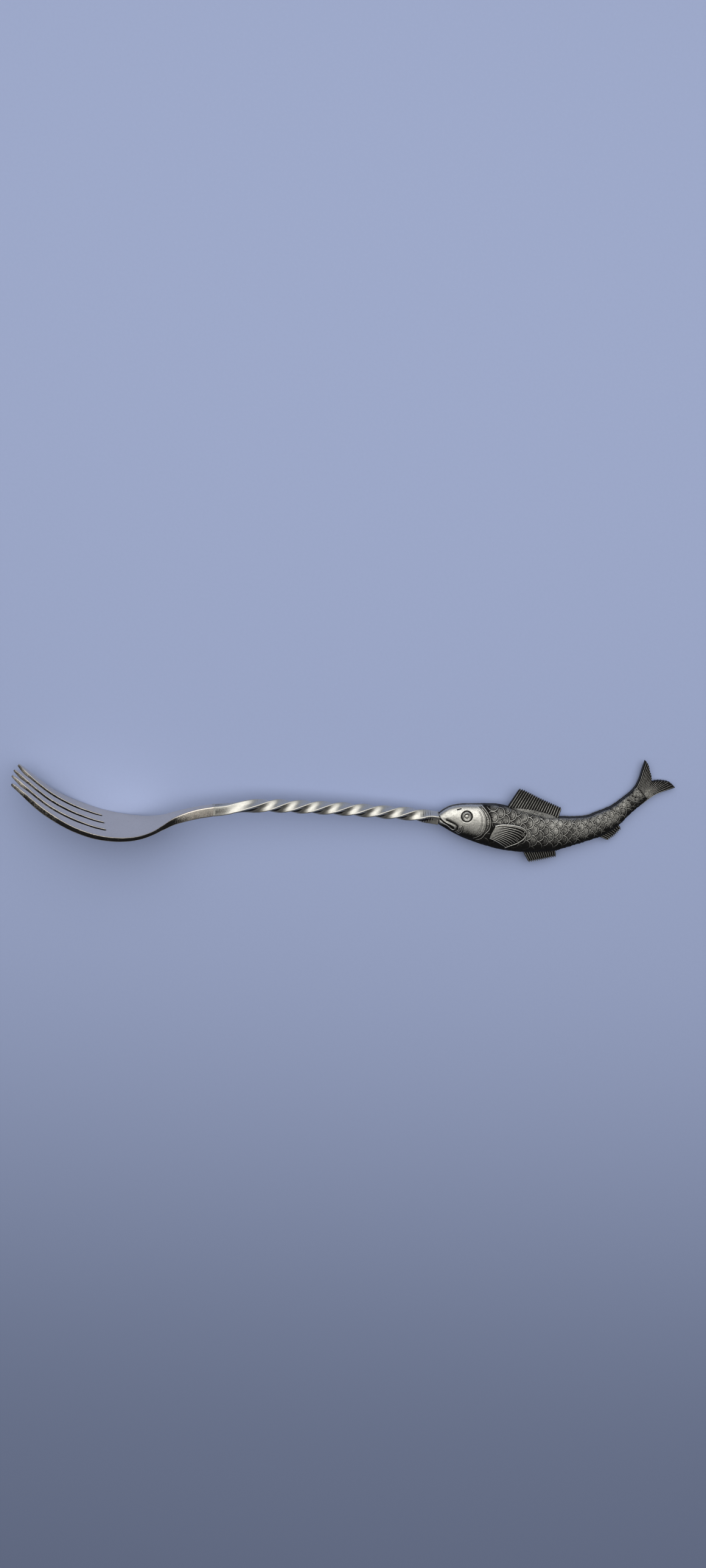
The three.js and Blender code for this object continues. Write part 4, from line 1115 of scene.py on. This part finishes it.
class Map:
    """The flank unrolled: X runs along its middle line and Y across it, in millimetres."""

    def __init__(self):
        self.at = np.linspace(0, 1, 1500)
        middle = flank(self.at, np.full(len(self.at), 0.5))[:, :2]
        self.run = run_along(middle)
        self.share = (middle[:, 0] - FISH_START) / FISH_LENGTH

    def half(self, run):
        """Half the depth of the body at a place along the middle line."""
        rows = follow(BODY, np.interp(run, self.run, self.at))
        return np.linalg.norm(fish_points(rows[:, :2]) - fish_points(rows[:, 2:4]), axis=1) / 2

    def wrap(self, flat):
        """Points of the map laid over the flank: Y is drawn in where the flank turns down to its edge."""
        half = self.half(flat[:, 0])
        turn = np.minimum(0.55, 0.35 * half)
        across = abs(flat[:, 1])
        beyond = np.maximum(across - (half - turn), 0)
        drawn = np.minimum(across, half - turn) + turn * (1 - np.exp(-beyond / turn))
        rise = 0.5 + 0.5 * np.sign(flat[:, 1]) * drawn / half
        at = np.clip(np.interp(flat[:, 0], self.run, self.at), 0.002, 0.998)
        normal = np.cross(flank(at + 0.002, rise) - flank(at - 0.002, rise),
                          flank(at, np.clip(rise + 0.004, 0, 1)) - flank(at, np.clip(rise - 0.004, 0, 1)))
        normal /= np.linalg.norm(normal, axis=1, keepdims=True)
        return flank(at, rise), normal * np.sign(normal[:, 2:3]), rise


def within(points, outline):
    """Which points lie inside a closed outline."""
    x, y = points[:, 0, None], points[:, 1, None]
    a, b = outline, np.roll(outline, -1, axis=0)
    cross = (a[:, 1] > y) != (b[:, 1] > y)
    step = np.where(abs(b[:, 1] - a[:, 1]) < 1e-9, 1e-9, b[:, 1] - a[:, 1])
    return (cross & (x < a[:, 0] + (y - a[:, 1]) * (b[:, 0] - a[:, 0]) / step)).sum(1) % 2 == 1


def scale_spots(map_):
    """Where the scales sit on the map: staggered columns from the gill cover to the tail."""
    generator = np.random.default_rng(SCALE_SEED)
    spots, column = [], 0
    reach = np.interp(0.17, map_.share, map_.run)
    while reach < map_.run[-1] - 0.1:
        share = np.interp(reach, map_.run, map_.share)
        size = np.interp(share, *np.transpose(SCALE_SIZE))
        half = map_.half(np.array([reach]))[0]
        for k in range(-6, 7):
            across = (k + 0.5 * (column % 2)) * size
            if abs(across) < half + 0.45 * size:
                spots.append((reach, across, size))
        reach += np.interp(share, *np.transpose(SCALE_STEP))
        column += 1
    spots = np.array(spots)
    wander = np.where(spots[:, 2] < 1.8, 0.12, 0.05)
    spots[:, :2] += generator.normal(0, 1, (len(spots), 2)) * wander[:, None]
    size = spots[:, 2] * generator.normal(1, 0.03, len(spots))
    laid = map_.wrap(spots)[0]
    off, _ = signed(laid, curve(GILLS[-1], 300))
    front, free, back, root = (curve(BREAST[key], 40) for key in ("front", "edge", "back", "root"))
    fin = np.vstack([front, free, back[::-1], root[::-1]])
    under_fin = within(laid, fin.mean(0) + (fin - fin.mean(0)) * 0.8)
    keep = (off > 0.5) & (laid[:, 0] > FISH_START + 0.165 * FISH_LENGTH) & ~under_fin
    return np.column_stack([spots[keep, :2], np.zeros(keep.sum())]), size[keep]


def scale_tree():
    """A scale on every spot of the map, tipped up towards the tail, with a cast grain."""
    t = Tree("Scales", "GeometryNodeTree", {
        "Spots": GEOMETRY, "Scale shape": OBJECT, "Length": 0.56, "Width": 0.52, "Tip up": 0.11,
        "Turn": 0.06, "Grain": 0.02, "Seed": 3, "Material": MATERIAL,
    }, {"Geometry": GEOMETRY})
    i = t.inputs

    def uneven(least, most, seed):
        node = t.node("FunctionNodeRandomValue", {"data_type": "FLOAT"}, Min=least, Max=most, Seed=seed)
        return t.out(node)

    size = t.stored("size")
    shape = t.node("GeometryNodeObjectInfo", Object=i["Scale shape"]).outputs["Geometry"]
    tip = i["Tip up"] * uneven(-1.25, -0.75, i["Seed"])
    turn = i["Turn"] * uneven(-1.0, 1.0, i["Seed"] + 1.0)
    spread = t.node("ShaderNodeCombineXYZ", X=size * i["Length"], Y=size * i["Width"], Z=size * i["Width"])
    scales = t.node("GeometryNodeInstanceOnPoints", Points=i["Spots"], Instance=shape, Scale=spread,
                    Rotation=t.node("ShaderNodeCombineXYZ", Y=tip, Z=turn))
    scales = t.node("GeometryNodeRealizeInstances", Geometry=scales)
    lift = (t.noise(3.5, 3.0) - 0.5) * i["Grain"]
    scales = t.node("GeometryNodeSetPosition", Geometry=scales, Offset=t.node("ShaderNodeCombineXYZ", Z=lift))
    return t.finish(scales)


def scales_mesh(material):
    map_ = Map()
    spots, size = scale_spots(map_)
    unit = mesh_object("scale unit", scale_unit())
    made = node_mesh("fish_scales", new_mesh("spots", spots, [], {"size": size}), scale_tree(),
                     Scale_shape=unit, Length=0.56, Width=0.52, Tip_up=0.11, Turn=0.06, Grain=0.04, Seed=3,
                     Material=material)
    bpy.data.objects.remove(unit)
    flat = numbers(made.vertices, "co", 3).astype(float)
    base, normal, rise = map_.wrap(flat)
    edge = 1 - 2 * abs(rise - 0.5)
    high = flat[:, 2]
    high = np.where(high > 0, high * np.clip(0.08 + edge / 0.1, 0, 1), high)
    off, _ = signed(base, curve(GILLS[-1], 300))
    under_gill = (off < 0.3) & (base[:, 0] < SCALES_ALL_ROUND)
    high = np.where(under_gill, np.minimum(high, -0.35 + 0.5 * np.maximum(off, 0)), high)
    made.vertices.foreach_set("co", (base + normal * high[:, None]).astype(np.float32).ravel())
    # The scales get the same painted shade towards the belly.
    layer = made.attributes["relief"].data
    layer.foreach_set("value", (numbers(layer, "value") * belly_shade(rise)).astype(np.float32))
    made.update()
    return made


# Eye


def turned_mesh(name, profile, sides, centre):
    """A closed profile turned round the Z axis. Points on the axis become one point."""
    turn = np.linspace(0, 2 * math.pi, sides, endpoint=False)
    points = np.array([(r * math.cos(a), r * math.sin(a), z) for r, z in profile for a in turn]) + centre
    faces = hoops(len(profile), sides, closed=profile[0][0] > 0)
    return new_mesh(name, points, faces, {"relief": np.full(len(points), 1.5)}, weld=1e-5)


def eye_meshes(over):
    spot = fish_points([EYE])
    centre = np.append(spot[0], over.over(spot)[0])
    turn = np.linspace(0, 2 * math.pi, 13)[:-1]
    ring = [(EYE_RADIUS + EYE_RING * math.cos(a), 0.03 + EYE_HIGH * math.sin(a)) for a in turn]
    dome = [(0.0, -0.5), (PUPIL_RADIUS + 0.04, -0.5)]
    dome += [(PUPIL_RADIUS * math.cos(a), EYE_HIGH * math.sin(a)) for a in np.linspace(0, math.pi / 2, 10)]
    return [turned_mesh("eye_ring", ring, 56, centre), turned_mesh("eye_pupil", dome, 40, centre)]


# Finishes


def tarnish_group():
    """How dark the silver is: low relief holds oxide, and polishing clears the high places."""
    t = Tree("Tarnish", "ShaderNodeTree", {
        "Relief": 0.5, "Clear above": 0.6, "Dark below": 0.25, "Patchiness": 0.3, "Patch size": 300.0,
        "Seed": 0.0,
    }, {"Dark": 0.0, "Cloud": 0.0})
    i = t.inputs
    spot = t.node("ShaderNodeTexCoord").outputs["Object"]
    broad = t.noise(i["Patch size"], 5.0, 0.6, Vector=spot, W=i["Seed"])
    fine = t.noise(i["Patch size"] * 15.0, 3.0, 0.6, Vector=spot, W=i["Seed"])
    cloud = broad * 0.5 + fine * 0.5
    level = i["Relief"] + (cloud - 0.5) * (i["Patchiness"] * 2.0)
    t.put(t.outputs["Dark"], t.smooth(level, i["Dark below"], i["Clear above"], 1.0, 0.0))
    t.put(t.outputs["Cloud"], cloud)
    return t.tree


def scratches_group():
    """Fine straight scratches in three directions, most of them along the piece."""
    t = Tree("Scratches", "ShaderNodeTree", {
        "Across": 9000.0, "Along": 260.0, "Lean": 0.2, "Sparseness": 0.62,
    }, {"Height": 0.0, "Lines": 0.0})
    i = t.inputs
    spot = t.node("ShaderNodeTexCoord").outputs["Object"]
    stretch = t.node("ShaderNodeCombineXYZ", X=i["Along"], Y=i["Across"], Z=i["Across"])
    every = None
    for turn, seed in ((1.0, 0.0), (-2.3, 4.0), (0.35, 9.0)):
        rotated = t.node("ShaderNodeVectorRotate", {"rotation_type": "Z_AXIS"}, Vector=spot,
                         Angle=i["Lean"] * turn)
        lines = t.noise(1.0, 1.0, Vector=t.vector("MULTIPLY", rotated, stretch), W=seed)
        lines = t.smooth(lines, i["Sparseness"], i["Sparseness"] + 0.06)
        every = every.at_least(lines) if every else lines
    t.put(t.outputs["Lines"], every)
    t.put(t.outputs["Height"], every * -1.0)
    return t.tree


def wear_group():
    """Pits, small dents, cast grain and the soft unevenness of hand work."""
    t = Tree("Wear", "ShaderNodeTree", {
        "Pit size": 2600.0, "Pits": 0.35, "Unevenness": 0.5, "Grain size": 5000.0, "Grain": 0.3,
        "Seed": 0.0,
    }, {"Height": 0.0, "Pitted": 0.0})
    i = t.inputs
    spot = t.node("ShaderNodeTexCoord").outputs["Object"]
    cells = t.node("ShaderNodeTexVoronoi", {"voronoi_dimensions": "4D"}, Vector=spot, W=i["Seed"],
                   Scale=i["Pit size"], Randomness=1.0)
    chance = t.out(t.node("ShaderNodeSeparateColor", Color=cells.outputs["Color"]))
    some = t.math("LESS_THAN", chance, i["Pits"])
    pit = t.smooth(cells.outputs["Distance"], 0.0, 0.35, 1.0, 0.0) * some
    soft = t.noise(900.0, 4.0, 0.55, Vector=spot, W=i["Seed"])
    fine = t.noise(i["Grain size"], 2.0, Vector=spot, W=i["Seed"])
    t.put(t.outputs["Height"], soft * i["Unevenness"] + fine * i["Grain"] - pit * 0.6)
    t.put(t.outputs["Pitted"], pit.at_least(t.smooth(fine, 0.5, 0.66) * i["Grain"]))
    return t.tree


class Finish(Nodes):
    """A material whose colour, roughness and bump come from nodes."""

    def __init__(self, name):
        self.material = bpy.data.materials.new(name)
        self.material.use_nodes = True
        super().__init__(self.material.node_tree)
        self.bsdf = self.tree.nodes["Principled BSDF"].inputs

    def group(self, tree, **inputs):
        outputs = self.node("ShaderNodeGroup", {"node_tree": tree}, **inputs).outputs
        return [Value(self, socket) for socket in outputs]


def silver(name, groups, polished, tarnish, scratches, wear, rough, deep, even=None):
    """Silver polished on its high places and oxidised in its recesses."""
    f = Finish(name)
    relief = even or f.node("ShaderNodeAttribute", {"attribute_name": "relief"}).outputs["Fac"]
    recess = f.node("ShaderNodeAmbientOcclusion", {"samples": 8}, Distance=deep).outputs["AO"]
    level = f.math("MULTIPLY", relief, f.smooth(recess, 0.25, 0.95, 0.35, 1.0))
    dark, cloud = f.group(groups["tarnish"], Relief=level, Patch_size=260.0, **tarnish)
    cut, lines = f.group(groups["scratches"], Across=9000.0, **scratches)
    uneven, pitted = f.group(groups["wear"], Seed=tarnish["Seed"], **wear)
    holes = dark.at_least(pitted * 0.6)
    tone = f.mix(cloud, (*polished, 1.0), (*(c * 0.8 for c in polished), 1.0))
    f.put(f.bsdf["Base Color"], f.mix(holes, tone, OXIDE))
    f.put(f.bsdf["Metallic"], f.mix(holes, 1.0, 0.35, "FLOAT"))
    worn = f.mix(cloud, *rough, "FLOAT") + lines * 0.12
    f.put(f.bsdf["Roughness"], f.mix(holes, worn, 0.62, "FLOAT"))
    f.put(f.bsdf["Specular IOR Level"], 0.15)
    bump = f.node("ShaderNodeBump", Strength=0.12, Distance=0.00002, Height=cut)
    bump = f.node("ShaderNodeBump", Strength=0.4, Distance=0.00005, Height=uneven, Normal=bump)
    f.put(f.bsdf["Normal"], bump)
    return f.material


def finishes():
    groups = {"tarnish": tarnish_group(), "scratches": scratches_group(), "wear": wear_group()}
    cast_scratches = {"Along": 900.0, "Lean": 0.9, "Sparseness": 0.7}
    cast_wear = {"Pit_size": 3500.0, "Pits": 0.3, "Unevenness": 1.0, "Grain_size": 5000.0, "Grain": 0.5}
    return {
        "head": silver(
            "Head silver", groups, (0.77, 0.71, 0.63),
            {"Clear_above": 0.66, "Dark_below": 0.16, "Patchiness": 0.55, "Seed": 1.0},
            {"Along": 240.0, "Lean": 0.35, "Sparseness": 0.66},
            {"Pit_size": 2600.0, "Pits": 0.12, "Unevenness": 0.4, "Grain_size": 5000.0, "Grain": 0.1},
            rough=(0.26, 0.4), deep=0.0006),
        "stem": silver(
            "Stem silver", groups, (0.7, 0.685, 0.63),
            {"Clear_above": 0.7, "Dark_below": 0.25, "Patchiness": 0.36, "Seed": 2.0},
            {"Along": 500.0, "Lean": 0.6, "Sparseness": 0.66},
            {"Pit_size": 3000.0, "Pits": 0.18, "Unevenness": 0.6, "Grain_size": 5000.0, "Grain": 0.2},
            rough=(0.36, 0.5), deep=0.0012),
        "fish": silver(
            "Cast silver", groups, (0.76, 0.745, 0.69),
            {"Clear_above": 1.0, "Dark_below": 0.34, "Patchiness": 0.75, "Seed": 3.0},
            {"Along": 900.0, "Lean": 0.9, "Sparseness": 0.68},
            {"Pit_size": 4200.0, "Pits": 0.35, "Unevenness": 1.0, "Grain_size": 6500.0, "Grain": 0.8},
            rough=(0.32, 0.5), deep=0.0005),
        "solder": silver(
            "Solder", groups, (0.66, 0.64, 0.58),
            {"Clear_above": 0.6, "Dark_below": 0.2, "Patchiness": 0.3, "Seed": 4.0},
            cast_scratches, cast_wear, rough=(0.42, 0.6), deep=0.0004),
        "sheet": silver(
            "Solder sheet", groups, (0.3, 0.29, 0.27),
            {"Clear_above": 0.6, "Dark_below": 0.2, "Patchiness": 0.3, "Seed": 5.0},
            cast_scratches, cast_wear, rough=(0.42, 0.6), deep=0.0004, even=0.55),
    }


# The whole fork


def add_piece(name, mesh, node, material):
    """A finished piece: laid down, painted, riding on the one body and standing for its CAD node."""
    lay_down(mesh)
    mesh.materials.clear()
    mesh.materials.append(material)
    obj = mesh_object(name, mesh)
    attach(obj, "root")
    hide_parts(node)


def fish_parts(material):
    """The pieces of the near half of the fish."""
    over = Flank()
    parts = {"body": body_mesh(), "scales": scales_mesh(material)}
    rays = ray_tree()
    for name, fin, rim, radius in (
            ("dorsal_fin", DORSAL, FIN_RIM, 0.2), ("pelvic_fin", PELVIC, FIN_RIM, 0.2),
            ("anal_fin", ANAL, FIN_RIM, 0.2), ("tail_upper", TAIL_UPPER, TAIL_RIM, 0.2),
            ("tail_lower", TAIL_LOWER, TAIL_RIM, 0.2), ("breast_fin", BREAST, BREAST_RISE, 0.23)):
        above = over if fin is BREAST else None
        parts[name + "_web"] = web_mesh(name, fin, rim, above)
        parts[name + "_rays"] = node_mesh(
            name, ray_lines(name, fin, rim, above), rays, Radius=radius, Sides=10, Points=24, Waver=0.03,
            Relief=0.92 if fin is BREAST else 0.68, Seed=fin["rays"], Material=material)
    parts["breast_fin_rim"] = node_mesh(
        "breast_fin_rim", rim_line(BREAST, BREAST_RISE, over), rays, Radius=BREAST_RIM, Sides=14,
        Points=90, Waver=0.02, Relief=1.4, Seed=5, Material=material)
    parts["eye_ring"], parts["eye_pupil"] = eye_meshes(over)
    return parts


def build():
    looks = finishes()
    add_piece("fork_head", head_mesh(), "fork_head", looks["head"])
    stem = stem_mesh(looks["stem"])
    collar, plate = collar_mesh(stem), plate_mesh(stem)
    add_piece("twisted_stem", stem, "twisted_stem", looks["stem"])
    add_piece("neck_solder_plate", plate, "neck_solder", looks["solder"])
    add_piece("mouth_solder_fillet", collar, "mouth_solder", looks["solder"])
    for part, mesh in fish_parts(looks["fish"]).items():
        far = mirrored(mesh, "far_" + part)
        add_piece("near_" + part, mesh, "fish_near_half", looks["fish"])
        add_piece("far_" + part, far, "fish_far_half", looks["fish"])
    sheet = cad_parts["fish_seam_solder"]
    sheet.data.materials.clear()
    sheet.data.materials.append(looks["sheet"])


def softbox():
    """One broad lamp above and behind the fork."""
    lamp = bpy.data.lights.new("softbox", "AREA")
    lamp.shape = "RECTANGLE"
    lamp.size, lamp.size_y = 0.8, 0.56
    lamp.energy = 1.15
    lamp.color = (1.0, 0.99, 0.965)
    lamp.spread = math.radians(110)
    obj = bpy.data.objects.new("softbox", lamp)
    obj.location = (0.0, 0.18, 0.34)
    aim = Vector((0.0, 0.075, 0.0)) - obj.location
    obj.rotation_euler = aim.to_track_quat("-Z", "Y").to_euler()
    bpy.context.scene.collection.objects.link(obj)


def room():
    """Dim light all round, brighter behind the fork."""
    world = bpy.data.worlds.new("Room")
    world.use_nodes = True
    f = Nodes(world.node_tree)
    _, behind, _ = f.split(f.node("ShaderNodeTexCoord").outputs["Generated"])
    side = f.mix(f.smooth(behind, -0.35, 0.9), (0.012, 0.012, 0.014, 1.0), (0.17, 0.185, 0.21, 1.0))
    f.put(f.tree.nodes["Background"].inputs["Color"], side)
    f.put(f.tree.nodes["Background"].inputs["Strength"], 1.0)
    bpy.context.scene.world = world


def paper():
    """The sheet of paper under the fork, with painted shade that darkens it towards the viewer."""
    mesh = bpy.data.meshes.new("paper")
    corners = [(-PAPER_HALF, -PAPER_HALF, 0), (PAPER_HALF, -PAPER_HALF, 0), (PAPER_HALF, PAPER_HALF, 0),
               (-PAPER_HALF, PAPER_HALF, 0)]
    mesh.from_pydata(corners, [], [(0, 1, 2, 3)])
    obj = mesh_object("paper", mesh)
    f = Finish("Paper")
    spot = f.node("ShaderNodeTexCoord").outputs["Object"]
    fibre = f.noise(1800.0, 4.0, Vector=spot)
    far = f.mix(fibre, (0.41, 0.485, 0.745, 1), (0.43, 0.508, 0.77, 1))
    _, towards, _ = f.split(spot)
    # Painted shade: the paper's colour falls off towards the viewer, in place of a falloff in the light.
    f.put(f.bsdf["Base Color"], f.mix(f.smooth(towards, -0.17, -0.02), (0.265, 0.32, 0.5, 1), far))
    f.put(f.bsdf["Roughness"], 0.85)
    mesh.materials.append(f.material)


def camera():
    """The photograph's viewpoint: its axes and place, and a lens of 2600 of the picture's pixels."""
    data = bpy.data.cameras.new("camera")
    data.sensor_fit = "AUTO"
    data.sensor_width = 36.0
    data.lens = data.sensor_width * LENS_PIXELS / PICTURE_HEIGHT
    data.clip_start = 0.01
    obj = bpy.data.objects.new("camera", data)
    back = Vector((-0.06145619, 0.25705511, 0.96444067))
    right = Vector((0.99508907, 0.09089845, 0.03918175))
    up = Vector((-0.07759429, 0.96211233, -0.26137901))
    axes = Matrix((right, up, back)).transposed().to_4x4()
    obj.matrix_world = Matrix.Translation((-0.0200436, 0.0888514, 0.3275445)) @ axes
    bpy.context.scene.collection.objects.link(obj)
    bpy.context.scene.camera = obj


build()
softbox()
room()
paper()
camera()
bpy.context.scene.view_settings.view_transform = "Standard"
